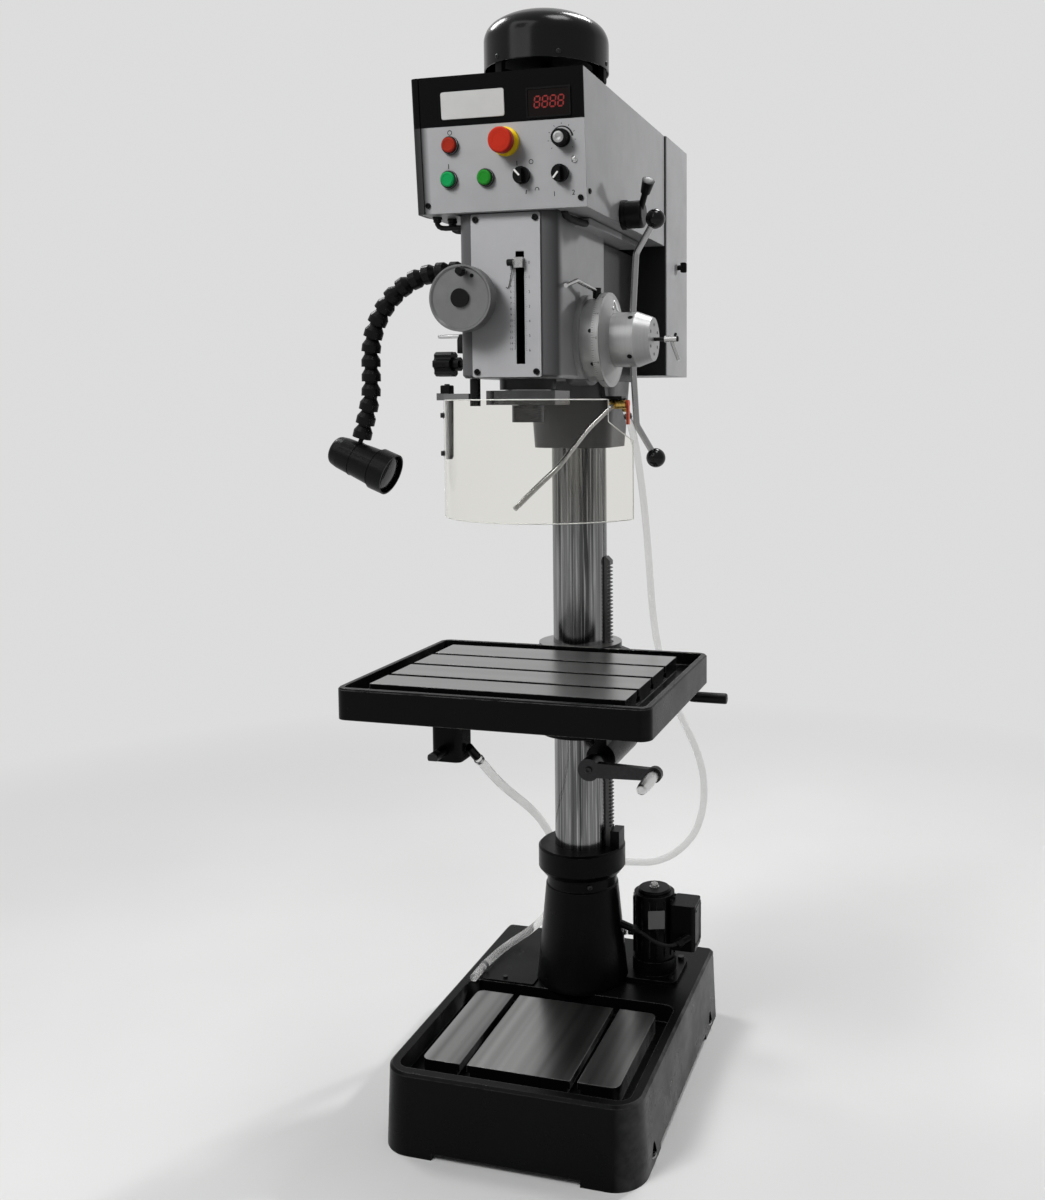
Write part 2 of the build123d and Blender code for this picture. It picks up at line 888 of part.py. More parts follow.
def column_foot():
    bore = column_r + seat_clear
    shoulder = foot_top_r - foot_neck_r
    outline = [(bore, 0), (foot_bottom_r, 0), (foot_bottom_r, foot_rim_h), (foot_top_r, foot_cone_h),
               (foot_neck_r, foot_cone_h + shoulder), (foot_neck_r, foot_h), (bore, foot_h)]
    body = turned(outline, Pos(0, column_y, base_h))
    body += along_z(0, column_y, base_h, base_h + column_socket, bore)
    gland = socket(cable_points, cable_points[0][0] - column_r - column_wall, gland_barrel_r)
    return body + gland


def column():
    bottom_z = base_h + column_socket
    return along_z(0, column_y, bottom_z, column_top_z, column_r) - along_z(
        0, column_y, bottom_z, column_top_z, column_r - column_wall)


def rack_ring():
    outline = [(column_r + run_clear, 0), (ring_skirt_r, 0), (ring_r, ring_skirt_h),
               (ring_r, ring_h - ring_bevel),
               (ring_r - ring_bevel, ring_h), (column_r + run_clear, ring_h)]
    ring = turned(outline, Pos(0, column_y, ring_z))
    lug = block(rack_tip_x + seat_clear, ring_r - ring_bevel, column_y - lug_w / 2, column_y + lug_w / 2,
                ring_top_z - rack_foot_depth, ring_top_z + lug_h)
    ring += lug
    half = rack_w / 2 + seat_clear
    return ring - block(0, rack_tip_x + seat_clear, column_y - half, column_y + half, rack_bottom_z,
                        ring_top_z)


def rack():
    tip_half, root_half = rack_gap(rack_module, rack_backlash)
    pitch = pi * rack_module
    root_x = rack_tip_x - (1 + dedendum) * rack_module
    first = elevation_z - pitch * int((elevation_z - ring_top_z - lug_h - pitch) / pitch)
    count = int((rack_top_z - rack_end_space * pitch - first) / pitch)
    points = [(column_r / 2, rack_bottom_z), (rack_tip_x, rack_bottom_z)]
    for tooth in range(count + 1):
        z = first + tooth * pitch
        points += [(rack_tip_x, z - tip_half), (root_x, z - root_half), (root_x, z + root_half),
                   (rack_tip_x, z + tip_half)]
    points += [(rack_tip_x, rack_top_z - rack_top_bevel), (rack_tip_x - rack_top_bevel, rack_top_z),
               (column_r / 2, rack_top_z)]
    bar = prism_y(points, column_y - rack_w / 2, column_y + rack_w / 2)
    return bar - along_z(0, column_y, rack_bottom_z, rack_top_z, column_r + rack_back_gap)


# Table and what moves with it
def table_casting():
    mid_y = (table_front_y + table_back_y) / 2
    length = table_back_y - table_front_y
    tray = rounded_block(table_w, length, table_r, mid_y, table_bottom_z, table_rim_z - table_bevel)
    rim = Pos(0, mid_y, table_rim_z - table_bevel) * RectangleRounded(table_w, length, table_r)
    tray += extrude(rim, table_bevel, taper=bevel_deg)
    tray -= rounded_block(table_w - 2 * table_rim_w, length - 2 * table_rim_w, table_r - table_rim_w, mid_y,
                          gutter_z, table_rim_z)
    pad_mid_y = (table_pad_front_y + table_pad_back_y) / 2
    pad_l = table_pad_back_y - table_pad_front_y
    tray += block(-table_pad_w / 2, table_pad_w / 2, table_pad_front_y, table_pad_back_y, gutter_z,
                  table_pad_z)
    for step in (-1, 0, 1):
        y = table_slot_mid_y + step * table_slot_pitch
        tray -= t_slot_x(y, -table_pad_w / 2, table_pad_w / 2, table_pad_z)
    pocket_top = table_pad_z - table_under_t
    pocket = rounded_block(table_pad_w, pad_l, table_r, pad_mid_y, table_bottom_z, pocket_top)
    pocket -= block(-rib_t / 2, rib_t / 2, table_front_y, table_back_y, table_bottom_z, table_rim_z)
    pocket -= rounded_block(drain_w + under_wall, drain_w + under_wall, drain_r, drain_y, table_bottom_z,
                            pocket_top, drain_x)
    tray -= pocket
    web = make_face(Polyline((-web_half_w, table_back_y - table_rim_w), (-web_back_half_w, web_back_y),
                             (web_back_half_w, web_back_y), (web_half_w, table_back_y - table_rim_w),
                             close=True))
    tray += Pos(0, 0, table_bottom_z) * extrude(web, web_h)
    hub = along_z(0, column_y, hub_bottom_z, table_rim_z, hub_r)
    hub -= block(-hub_r, hub_r, column_y - hub_r, table_back_y - table_rim_w, gutter_z, table_rim_z)
    boss_x = elevation_x
    boss = along_y(boss_x, elevation_boss_front_y, elevation_boss_back_y, elevation_z, elevation_boss_r)
    boss += block(boss_x - elevation_web_t / 2, boss_x + elevation_web_t / 2, elevation_boss_front_y,
                  column_y,
                  elevation_z, table_bottom_z + web_h / 2)
    drain = rounded_block(drain_w, drain_w, drain_r, drain_y, drain_bottom_z, table_bottom_z + web_h / 2,
                          drain_x)
    ears = along_y(clamp_x, clamp_ear_y(-1) - clamp_ear_t, clamp_ear_y(1) + clamp_ear_t, clamp_z,
                   clamp_ear_r)
    ears += block(hub_r / 2, clamp_x, clamp_ear_y(-1) - clamp_ear_t, clamp_ear_y(1) + clamp_ear_t,
                  clamp_z - clamp_ear_r, clamp_z + clamp_ear_r)
    body = tray + hub + boss + drain + ears
    body -= along_z(0, column_y, elevation_z - elevation_boss_r, table_pad_z, column_r + run_clear)
    slot_half = rack_w / 2 + wide_gap
    body -= block(0, rack_tip_x + wide_gap, column_y - slot_half, column_y + slot_half,
                  elevation_z - elevation_boss_r, table_pad_z)
    body -= block(0, clamp_x + clamp_ear_r, clamp_ear_y(-1), clamp_ear_y(1),
                  clamp_z - clamp_ear_r, table_bottom_z)
    body -= along_y(boss_x, elevation_boss_front_y, elevation_boss_back_y, elevation_z,
                    elevation_shaft_r + run_clear)
    chamber_r = elevation_pitch_r + rack_module + wide_gap
    body -= along_y(boss_x, column_y - pinion_w / 2 - wide_gap, column_y + pinion_w / 2 + wide_gap,
                    elevation_z, chamber_r)
    body -= along_y(clamp_x, clamp_ear_y(-1) - clamp_ear_t, clamp_ear_y(1) + clamp_ear_t, clamp_z,
                    clamp_bolt_r + run_clear)
    cock_hole_y = drain_y - drain_w / 2
    body -= along_y(cock_x, cock_hole_y, cock_hole_y + cock_plug_l, cock_z, cock_plug_r + run_clear)
    return body + drain_barb()


def clamp_ear_y(side):
    return column_y + side * clamp_slit / 2


def drain_barb():
    return socket(drain_points, drain_barb_l, drain_hose_r)


def elevation_shaft():
    teeth = gear(rack_module, elevation_teeth, pinion_w, rack_backlash, 180, 0)
    pinion = Pos(elevation_x, column_y + pinion_w / 2, elevation_z) * Rot(90, 0, 0) * teeth
    hub_back_y = crank_hub_y + crank_hub_l
    shaft = along_y(elevation_x, hub_back_y, elevation_boss_back_y, elevation_z, elevation_shaft_r)
    hub = along_y(elevation_x, crank_hub_y, hub_back_y, elevation_z, crank_hub_r)
    arm_y1 = crank_hub_y + crank_arm_t
    tip_x = elevation_x + crank_throw
    arm = prism_y([(elevation_x, elevation_z - crank_arm_h / 2), (tip_x, elevation_z - crank_arm_tip_h / 2),
                   (tip_x, elevation_z + crank_arm_tip_h / 2),
                   (elevation_x, elevation_z + crank_arm_h / 2)],
                  crank_hub_y, arm_y1)
    eye = along_y(tip_x, crank_hub_y, arm_y1, elevation_z, crank_eye_r)
    pin_hole = along_y(tip_x, crank_hub_y, arm_y1, elevation_z, crank_pin_r + seat_clear)
    return pinion + shaft + hub + (arm + eye - pin_hole)


def crank_handle():
    x = elevation_x + crank_throw
    length = crank_handle_l - body_gap
    half = length / 2
    lines = [Line((0, 0, 0), (crank_handle_waist_r, 0, 0)),
             ThreePointArc((crank_handle_waist_r, 0, 0), (crank_handle_r, 0, half),
                           (crank_handle_waist_r, 0, length)),
             Line((crank_handle_waist_r, 0, length), (0, 0, length)), Line((0, 0, length), (0, 0, 0))]
    grip = revolve(make_face(lines), Axis.Z)
    grip = fillet(grip.faces().sort_by(Axis.Z)[-1].edges(), crank_handle_round)
    grip = facing_front(x, crank_hub_y - body_gap, elevation_z) * grip
    return grip + along_y(x, crank_hub_y - body_gap, crank_hub_y + crank_arm_t, elevation_z, crank_pin_r)


def table_clamp_lever():
    front_y = clamp_ear_y(-1) - clamp_ear_t
    back_y = clamp_ear_y(1) + clamp_ear_t
    hub_y = back_y + body_gap
    bolt = along_y(clamp_x, front_y, hub_y, clamp_z, clamp_bolt_r)
    hub = along_y(clamp_x, hub_y, hub_y + clamp_hub_l, clamp_z, clamp_hub_r)
    bar_y = hub_y + clamp_hub_l / 2
    bar = along_x(clamp_x, clamp_x + clamp_lever_l, bar_y, clamp_z, clamp_lever_r)
    tip = Pos(clamp_x + clamp_lever_l, bar_y, clamp_z) * Sphere(clamp_tip_r)
    return bolt + hub + bar + tip


def drain_cock():
    face_y = drain_y - drain_w / 2
    end_y = face_y - body_gap - cock_l
    plug = along_y(cock_x, face_y - body_gap, face_y + cock_plug_l, cock_z, cock_plug_r)
    grip = along_y(cock_x, end_y, face_y - body_gap, cock_z, cock_r)
    for side in (-1, 1):
        z = cock_z + side * (cock_flat + cock_r)
        grip -= block(cock_x - cock_r, cock_x + cock_r, end_y, end_y + cock_flat_l, z - cock_r, z + cock_r)
    return plug + grip


# Head and quill
def column_boss():
    outline = Pos(0, column_y + boss_shift_y, boss_bottom_z) * RectangleRounded(boss_w, boss_l, boss_r)
    return extrude(outline, boss_h, taper=-boss_draft_deg)


def head_casting():
    case_l = head_step_y - head_front_y
    case_y = (head_front_y + head_step_y) / 2
    low_z = head_bottom_z + head_bevel
    case = rounded_block(2 * head_half_w, case_l, head_corner_r, case_y, low_z, head_top_z)
    rim = Pos(0, case_y, low_z) * RectangleRounded(2 * head_half_w, case_l, head_corner_r)
    case += extrude(rim, -head_bevel, taper=bevel_deg)
    case += block(-head_rear_half_w, head_rear_half_w, head_step_y - head_corner_r, head_rear_y,
                  head_bottom_z, head_shoulder_z)
    case += column_boss()
    case += along_z(0, spindle_y, head_bottom_z - gland_h, head_bottom_z, gland_r)
    case += along_x(head_half_w - head_corner_r, head_half_w + feed_boss_l, feed_y, feed_z, feed_boss_r)
    rail_z = box_bottom_z - rail_gap - rail_h
    for side in (-1, 1):
        inner = side * (head_rear_half_w - rail_w)
        outer = side * (head_half_w + rail_w)
        case += block(min(inner, outer), max(inner, outer), rail_front_y, rail_back_y, rail_z,
                      rail_z + rail_h)
    chamber_l = chamber_back_y - chamber_front_y
    chamber_y = (chamber_front_y + chamber_back_y) / 2
    case -= rounded_block(2 * chamber_half_w, chamber_l, chamber_r, chamber_y, chamber_floor_z, head_top_z)
    case -= along_z(0, column_y, boss_bottom_z, column_top_z, column_r + seat_clear)
    case -= along_z(0, spindle_y, head_bottom_z - gland_h, chamber_floor_z, quill_r + run_clear)
    feed_clear_r = feed_pitch_r + feed_module + wide_gap
    pocket_half = feed_face_w / 2 + wide_gap
    case -= along_x(-pocket_half, pocket_half, feed_y, feed_z, feed_clear_r)
    case -= along_x(feed_shaft_x0 - wide_gap, head_half_w + feed_boss_l, feed_y, feed_z,
                    feed_shaft_r + run_clear)
    case -= along_y(wheel_x, head_front_y, wheel_shaft_back_y + wide_gap, wheel_z, worm_r + wide_gap)
    case -= along_x(-head_half_w, -quill_r, spindle_y, quill_lock_z, quill_lock_r + run_clear)
    case -= block(scale_x - scale_slot_w / 2, scale_x + scale_slot_w / 2, head_front_y, spindle_y,
                  scale_slot_z0, scale_slot_z1)
    case -= along_z(guard_pivot_x, guard_pivot_y, head_bottom_z, head_bottom_z + guard_stud_depth,
                    guard_stud_r + run_clear)
    case -= along_x(chamber_half_w, head_half_w, gear_lever_y, gear_lever_z, gear_shaft_r + run_clear)
    case -= along_z(0, cluster_y, cluster_shaft_z0 - body_gap, chamber_floor_z, cluster_shaft_r + run_clear)
    return case


def front_plate():
    mid_z = (plate_bottom_z + plate_top_z) / 2
    face = RectangleRounded(plate_w, plate_top_z - plate_bottom_z, plate_r)
    plate = facing_front(0, head_front_y, mid_z) * extrude(face, plate_t)
    front = head_front_y - plate_t
    plate -= block(scale_x - scale_slot_w / 2, scale_x + scale_slot_w / 2, front, head_front_y,
                   scale_slot_z0, scale_slot_z1)
    return plate - along_y(wheel_x, front, head_front_y, wheel_z, worm_r + wide_gap)


def quill():
    body = along_z(0, spindle_y, quill_bottom_z, quill_top_z, quill_r)
    body -= along_z(0, spindle_y, quill_bottom_z, quill_top_z, quill_bore_r)
    tip_half, root_half = rack_gap(feed_module, feed_backlash)
    pitch = pi * feed_module
    surface_y = spindle_y + quill_r
    root_y = surface_y - (1 + dedendum) * feed_module
    lowest = int((feed_z - feed_rack_z0) / pitch)
    highest = int((quill_top_z - feed_z) / pitch)
    out_half = tip_half + feed_module * tan(radians(pressure_deg))
    gaps = []
    for step in range(-lowest, highest):
        z = feed_z + step * pitch
        outline = [(root_y, z - root_half), (surface_y, z - tip_half),
                   (surface_y + feed_module, z - out_half),
                   (surface_y + feed_module, z + out_half), (surface_y, z + tip_half),
                   (root_y, z + root_half)]
        gaps.append(prism_x(outline, -quill_r, quill_r))
    body -= gaps
    flange = Pos(0, spindle_y, quill_bottom_z - collar_h) * extrude(
        chamfer(Rectangle(collar_w, collar_w).vertices(), collar_chamfer), collar_h)
    return body + flange - along_z(0, spindle_y, quill_bottom_z - collar_h, quill_bottom_z,
                                   spindle_r + wide_gap)


def spindle_bearings():
    race = Cylinder(quill_bore_r, bearing_h) - Cylinder(spindle_r + run_clear, bearing_h)
    low = Pos(0, spindle_y, quill_bottom_z + bearing_h / 2) * race
    high = Pos(0, spindle_y, quill_top_z - bearing_h / 2) * race
    return low + high


def depth_pointer():
    arm_y0 = head_front_y - plate_t - pointer_proud
    half = scale_slot_w / 2 - wide_gap
    arm_y1 = spindle_y - sqrt(quill_r ** 2 - (scale_x + half) ** 2)
    arm = block(scale_x - half, scale_x + half, arm_y0, arm_y1 + pointer_sink,
                pointer_z - pointer_arm_h / 2, pointer_z + pointer_arm_h / 2)
    arm -= along_z(0, spindle_y, pointer_z - pointer_h, pointer_z + pointer_h, quill_r)
    face_y = head_front_y - plate_t - wide_gap
    face_x = scale_x - scale_slot_w / 2
    face = block(face_x, face_x + scale_slot_w, arm_y0, face_y, pointer_z - pointer_h / 2,
                 pointer_z + pointer_h / 2)
    knob_y = (arm_y0 + face_y - pointer_knob_r) / 2
    knob = along_x(face_x - pointer_knob_l, face_x, knob_y, pointer_z, pointer_knob_r)
    return arm + face + knob


def spline_section(grow):
    face = Circle(spline_r + grow)
    return face & Rectangle(2 * (spline_r + grow), 2 * (spline_flat + grow))


def spindle():
    body = along_z(0, spindle_y, spindle_nose_z, nose_top_z, spindle_nose_r)
    body += along_z(0, spindle_y, nose_top_z, quill_top_z, spindle_r)
    body += Pos(0, spindle_y, quill_top_z) * extrude(spline_section(0), spline_l)
    taper = Pos(0, spindle_y, spindle_nose_z + taper_depth / 2) * Cone(taper_r, taper_small_r, taper_depth)
    return body - taper


# Gear train and motor
def spindle_gear():
    low = gear(gear_module, low_spindle_teeth, gear_w, gear_backlash, 90 + 180 / low_spindle_teeth, 0)
    high = gear(gear_module, high_teeth, gear_w, gear_backlash, 90 + 180 / high_teeth, 0)
    body = along_z(0, spindle_y, sleeve_z0, sleeve_z1, sleeve_r)
    body += Pos(0, spindle_y, low_gear_z) * low
    body += Pos(0, spindle_y, high_spindle_z) * high
    return body - Pos(0, spindle_y, sleeve_z0) * extrude(spline_section(run_clear), sleeve_z1 - sleeve_z0)


def gear_cluster():
    shaft_top = first_gear_z + gear_w
    body = along_z(0, cluster_y, cluster_shaft_z0, shaft_top, cluster_shaft_r)
    body += Pos(0, cluster_y, low_gear_z) * gear(gear_module, low_teeth, gear_w, gear_backlash, -90, 0)
    body += Pos(0, cluster_y, high_cluster_z) * gear(gear_module, high_teeth, gear_w, gear_backlash, -90, 0)
    first = gear(gear_module, first_teeth, gear_w, gear_backlash, 90 + 180 / first_teeth, 0)
    return body + Pos(0, cluster_y, first_gear_z) * first


def cowl_lug():
    """Arm from the motor's end to the cowl, with a round-ended tab inside the cowl's skirt."""
    reach = cowl_r - cowl_t
    half = cowl_lug_w / 2
    tab_x = reach - cowl_tab_t
    arm = block(motor_r - rib_rise, tab_x, -half, half, motor_top_z - cowl_lug_t, motor_top_z)
    low_z = motor_top_z - cowl_tab_drop + half
    tab = block(tab_x - cowl_tab_t, reach, -half, half, low_z, motor_top_z + cowl_tab_rise)
    tab += along_x(tab_x - cowl_tab_t, reach, 0, low_z, half)
    return arm + tab & along_z(0, 0, motor_seat_z, cowl_top_z, reach - seat_clear)


def motor_body():
    flange_l = head_step_y - head_front_y - 2 * flange_edge
    flange = rounded_block(2 * (head_half_w - flange_edge), flange_l, chamber_r,
                           (head_front_y + head_step_y) / 2,
                           head_top_z, motor_seat_z)
    body = flange + along_z(0, motor_y, motor_seat_z, motor_top_z, motor_r)
    for turn in range(rib_count):
        rib = block(motor_r - rib_rise, motor_r + rib_rise, -rib_w / 2, rib_w / 2, rib_z0,
                    motor_top_z - motor_end_t)
        body += Pos(0, motor_y, 0) * Rot(0, 0, turn * 360 / rib_count) * rib
    for turn in range(cowl_lugs):
        body += Pos(0, motor_y, 0) * Rot(0, 0, turn * 360 / cowl_lugs) * cowl_lug()
    body += along_z(0, spindle_y, motor_seat_z, turret_top_z, turret_r)
    body -= along_z(0, spindle_y, head_top_z, turret_top_z - turret_wall, turret_r - turret_wall)
    body -= along_z(0, motor_y, motor_seat_z + motor_end_t, motor_top_z - motor_end_t, rotor_r + rotor_gap)
    return body - along_z(0, motor_y, head_top_z, motor_top_z, motor_shaft_r + run_clear)


def motor_rotor():
    pinion = gear(gear_module, motor_teeth, motor_pinion_w, gear_backlash, -90, 0)
    body = Pos(0, motor_y, motor_pinion_z) * pinion
    blades_top = fan_z + fan_plate_t + fan_blade_h
    body += along_z(0, motor_y, motor_pinion_z, blades_top, motor_shaft_r)
    stack_gap = motor_end_t + 2 * rotor_gap
    body += along_z(0, motor_y, motor_seat_z + stack_gap, motor_top_z - stack_gap, rotor_r)
    body += along_z(0, motor_y, fan_z, fan_z + fan_plate_t, fan_r)
    body += along_z(0, motor_y, fan_z, blades_top, fan_hub_r)
    for turn in range(fan_blades):
        blade = block(fan_hub_r - fan_blade_t, fan_r - fan_blade_t, -fan_blade_t / 2, fan_blade_t / 2,
                      fan_z, blades_top)
        body += Pos(0, motor_y, 0) * Rot(0, 0, turn * 360 / fan_blades) * blade
    return body


def cowl_line(inset):
    """Half outline of the domed cowl from its open end: skirt, tight shoulder and wide crown arc."""
    turn = radians(cowl_turn_deg)
    skirt_z = cowl_bottom_z + cowl_skirt_h
    crown_r = (cowl_top_z - skirt_z - cowl_shoulder_r * sin(turn)) / (1 - sin(turn))
    shoulder_x = cowl_r - cowl_shoulder_r
    crown_x = shoulder_x - (crown_r - cowl_shoulder_r) * cos(turn)
    crown_z = cowl_top_z - crown_r

    def on_shoulder(a):
        r = cowl_shoulder_r - inset
        return (shoulder_x + r * cos(a), 0, skirt_z + r * sin(a))

    def on_crown(a):
        r = crown_r - inset
        return (crown_x + r * cos(a), 0, crown_z + r * sin(a))

    end = on_crown(pi / 2)
    return [Line((cowl_r - inset, 0, cowl_bottom_z), on_shoulder(0)),
            ThreePointArc(on_shoulder(0), on_shoulder(turn / 2), on_shoulder(turn)),
            ThreePointArc(on_shoulder(turn), on_crown((turn + pi / 2) / 2), end),
            Line(end, (0, 0, end[2]))]


def motor_cowl():
    foot_line = Line((cowl_r, 0, cowl_bottom_z), (cowl_r - cowl_t, 0, cowl_bottom_z))
    top_line = Line((0, 0, cowl_top_z), (0, 0, cowl_top_z - cowl_t))
    section = make_face(cowl_line(0) + [top_line] + cowl_line(cowl_t) + [foot_line])
    return Pos(0, motor_y, 0) * revolve(section, Axis.Z)


# Control box, rear cabinet and controls
def panel_place(x, z):
    """Location on the panel's front face, with Z pointing out of it."""
    y = box_front_bottom_y - box_lean * (z - box_bottom_z) / (box_top_z - box_bottom_z)
    return Pos(x, y, z) * Rot(90 + lean_deg, 0, 0)


def box_side():
    y0 = box_front_bottom_y + panel_t
    y1 = y0 - box_lean
    return [(y0, box_bottom_z), (y1, box_top_z), (head_rear_y, box_top_z), (head_rear_y, box_bottom_z)]


def box_corner(inset):
    """Waste outside the round left front edge of the box, inset from its faces."""
    edge = Pos(-box_half_w + inset, box_front_bottom_y + inset, box_bottom_z) * Rot(lean_deg, 0, 0)
    square = Pos(box_left_r / 2, box_left_r / 2) * Rectangle(box_left_r, box_left_r)
    waste = square - Pos(box_left_r, box_left_r) * Circle(box_left_r)
    return edge * Pos(0, 0, -box_left_r) * extrude(waste, box_h + 2 * box_left_r)


def control_box():
    shell = prism_x(box_side(), -box_half_w, box_half_w) - box_corner(0)
    inner_half = box_half_w - sheet_t
    front_y = box_front_bottom_y - box_lean
    inner = block(-inner_half, inner_half, front_y, head_rear_y - sheet_t, box_bottom_z + sheet_t,
                  box_top_z - sheet_t)
    shell -= inner - box_corner(sheet_t)
    cut_half = head_half_w + box_cut_gap
    shell -= block(-cut_half, cut_half, head_front_y - box_cut_gap, head_step_y + box_cut_gap,
                   box_bottom_z, box_bottom_z + sheet_t)
    shell -= along_z(0, motor_y, box_top_z - sheet_t, box_top_z, motor_r + 2 * rib_rise)
    return shell - along_x(inner_half, box_half_w, gear_lever_y, gear_lever_z, gear_shaft_r + run_clear)


def control_panel():
    y = box_front_bottom_y
    outline = [(y, box_bottom_z), (y - box_lean, box_top_z), (y - box_lean + panel_t, box_top_z),
               (y + panel_t, box_bottom_z)]
    panel = prism_x(outline, -box_half_w, box_half_w) - box_corner(0)
    buttons = [(stop_x, button_high_z), (start_x, button_low_z), (reverse_x, button_low_z)]
    turning = [(estop_x, button_high_z), (speed_x, button_high_z), (selector_left_x, button_low_z),
               (selector_right_x, button_low_z)]
    for x, z in buttons + turning:
        panel -= panel_place(x, z) * Cylinder(stem_r + run_clear, stem_l)
    for x, z in buttons:
        ring = Cylinder(button_ring_r, button_ring_h) - Cylinder(button_r + body_gap, button_ring_h)
        panel += panel_place(x, z) * Pos(0, 0, button_ring_h / 2) * ring
    return panel


def push_button(x, z):
    cap = Pos(0, 0, (button_proud + button_travel) / 2 + knob_gap) * Cylinder(button_r,
                                                                              button_proud - button_travel)
    cap = fillet(cap.faces().sort_by(Axis.Z)[-1].edges(), button_round)
    top = button_travel + knob_gap + wide_gap
    stem = Pos(0, 0, (top - stem_l) / 2) * Cylinder(stem_r, stem_l + top)
    return panel_place(x, z) * (cap + stem)


def estop_button():
    low = estop_collar_h + estop_travel + knob_gap
    head = Pos(0, 0, low + estop_head_h / 2) * Cylinder(estop_r, estop_head_h)
    head = fillet(head.faces().sort_by(Axis.Z)[-1].edges(), estop_round)
    head = fillet(head.faces().sort_by(Axis.Z)[0].edges(), estop_round / 2)
    stem = Pos(0, 0, (low - estop_stem_l) / 2) * Cylinder(stem_r, low + estop_stem_l)
    return panel_place(estop_x, button_high_z) * (head + stem)


def estop_collar():
    outline = [(stem_r + run_clear, 0), (estop_collar_r, 0), (estop_collar_r, estop_collar_h / 2),
               (estop_collar_r - estop_travel, estop_collar_h), (stem_r + run_clear, estop_collar_h)]
    return panel_place(estop_x, button_high_z) * turned(outline, Pos(0, 0, 0))


def selector():
    disc = Pos(0, 0, knob_gap + selector_h / 2) * Cylinder(selector_r, selector_h)
    grip_z = knob_gap + selector_h + selector_grip_h / 2
    grip = Pos(0, 0, grip_z) * Box(selector_grip_w, selector_grip_l, selector_grip_h)
    grip = fillet(grip.edges().filter_by(Axis.Z), selector_grip_r)
    stem = Pos(0, 0, knob_gap - stem_l / 2) * Cylinder(stem_r, stem_l)
    return disc + grip + stem


def speed_knob():
    skirt = Pos(0, 0, knob_gap + speed_skirt_h / 2) * Cylinder(speed_skirt_r, speed_skirt_h)
    top = Pos(0, 0, knob_gap + speed_skirt_h + speed_h / 2) * Cone(speed_r, speed_r - wide_gap, speed_h)
    stem = Pos(0, 0, knob_gap - stem_l / 2) * Cylinder(stem_r, stem_l)
    return panel_place(speed_x, button_high_z) * (skirt + top + stem)


def rear_cabinet():
    mid_y = (head_rear_y + cabinet_back_y) / 2
    shell = rounded_block(2 * cabinet_half_w, cabinet_d, cabinet_corner_r, mid_y, cabinet_bottom_z,
                          box_top_z)
    inner_half = cabinet_half_w - sheet_t
    shell -= block(-inner_half, inner_half, head_rear_y + sheet_t, cabinet_back_y - sheet_t,
                   cabinet_bottom_z + sheet_t, box_top_z - sheet_t)
    shell -= block(-cabinet_window_w / 2, cabinet_window_w / 2, head_rear_y, head_rear_y + sheet_t,
                   cabinet_window_z0, cabinet_window_z1)
    return shell - along_x(inner_half, cabinet_half_w, cabinet_knob_y, cabinet_knob_z,
                           cabinet_stud_r + run_clear)


def cabinet_knob():
    x0 = cabinet_half_w + body_gap
    half_t = cabinet_wing_t / 2
    stud = along_x(x0 - stem_l, x0, cabinet_knob_y, cabinet_knob_z, cabinet_stud_r)
    neck = along_x(x0, x0 + cabinet_neck_l, cabinet_knob_y, cabinet_knob_z, cabinet_neck_r)
    wings = block(x0 + cabinet_knob_l - cabinet_wing_l, x0 + cabinet_knob_l, cabinet_knob_y - half_t,
                  cabinet_knob_y + half_t, cabinet_knob_z - cabinet_knob_r, cabinet_knob_z + cabinet_knob_r)
    return stud + neck + fillet(wings.edges().filter_by(Axis.Y), half_t)


# Feed unit
def feed_housing():
    start = head_half_w + feed_boss_l
    drum = along_x(start, feed_drum_end_x, feed_y, feed_z, feed_drum_r)
    drum -= along_x(start, feed_drum_end_x, feed_y, feed_z, feed_shaft_r + run_clear)
    post_z = feed_z + sqrt(feed_drum_r ** 2 - (lock_pivot_y - feed_y) ** 2)
    return drum - along_z(lock_pivot_x, lock_pivot_y, post_z - lock_post_h, post_z + lock_post_h,
                          lock_post_r / 2 + run_clear)


def dial_start_x():
    return feed_drum_end_x + body_gap


def hub_start_x():
    return dial_start_x() + dial_rim_w + dial_hub_w


def hub_end_x():
    return hub_start_x() + hub_barrel_l + hub_nose_l


def depth_dial():
    bore = feed_shaft_r + seat_clear
    outline = [(bore, 0), (dial_r, 0), (dial_r, dial_rim_w), (dial_r - dial_rim_w / 2, dial_rim_w),
               (dial_hub_r, dial_rim_w + dial_hub_w), (bore, dial_rim_w + dial_hub_w)]
    return turned(outline, facing_x(dial_start_x(), feed_y, feed_z))


def feed_hub():
    bore = feed_shaft_r + seat_clear
    length = hub_barrel_l + hub_nose_l
    outline = [(bore, 0), (hub_barrel_r, 0), (hub_barrel_r, hub_barrel_l), (hub_nose_r, length),
               (0, length),
               (0, hub_barrel_l), (bore, hub_barrel_l)]
    hub = turned(outline, facing_x(hub_start_x(), feed_y, feed_z))
    root_x = lever_root_x()
    hub -= along_z(root_x, feed_y, feed_z + lever_root_r, feed_z + lever_bend_r, lever_rod_r + seat_clear)
    hub -= along_z(root_x, feed_y, feed_z - lever_bend_r, feed_z - lever_root_r, lever_rod_r + seat_clear)
    return hub - along_x(hub_end_x() - end_rod_l, hub_end_x(), feed_y, feed_z, end_rod_r + run_clear)


def lever_root_x():
    return hub_start_x() + lever_root_in


def feed_shaft():
    teeth = gear(feed_module, feed_teeth, feed_face_w, feed_backlash, 0, 0)
    pinion = Pos(0, feed_y, feed_z) * Rot(0, 90, 0) * Rot(0, 0, -90) * Pos(0, 0, -feed_face_w / 2) * teeth
    return pinion + along_x(feed_shaft_x0, hub_start_x() + hub_barrel_l, feed_y, feed_z, feed_shaft_r)


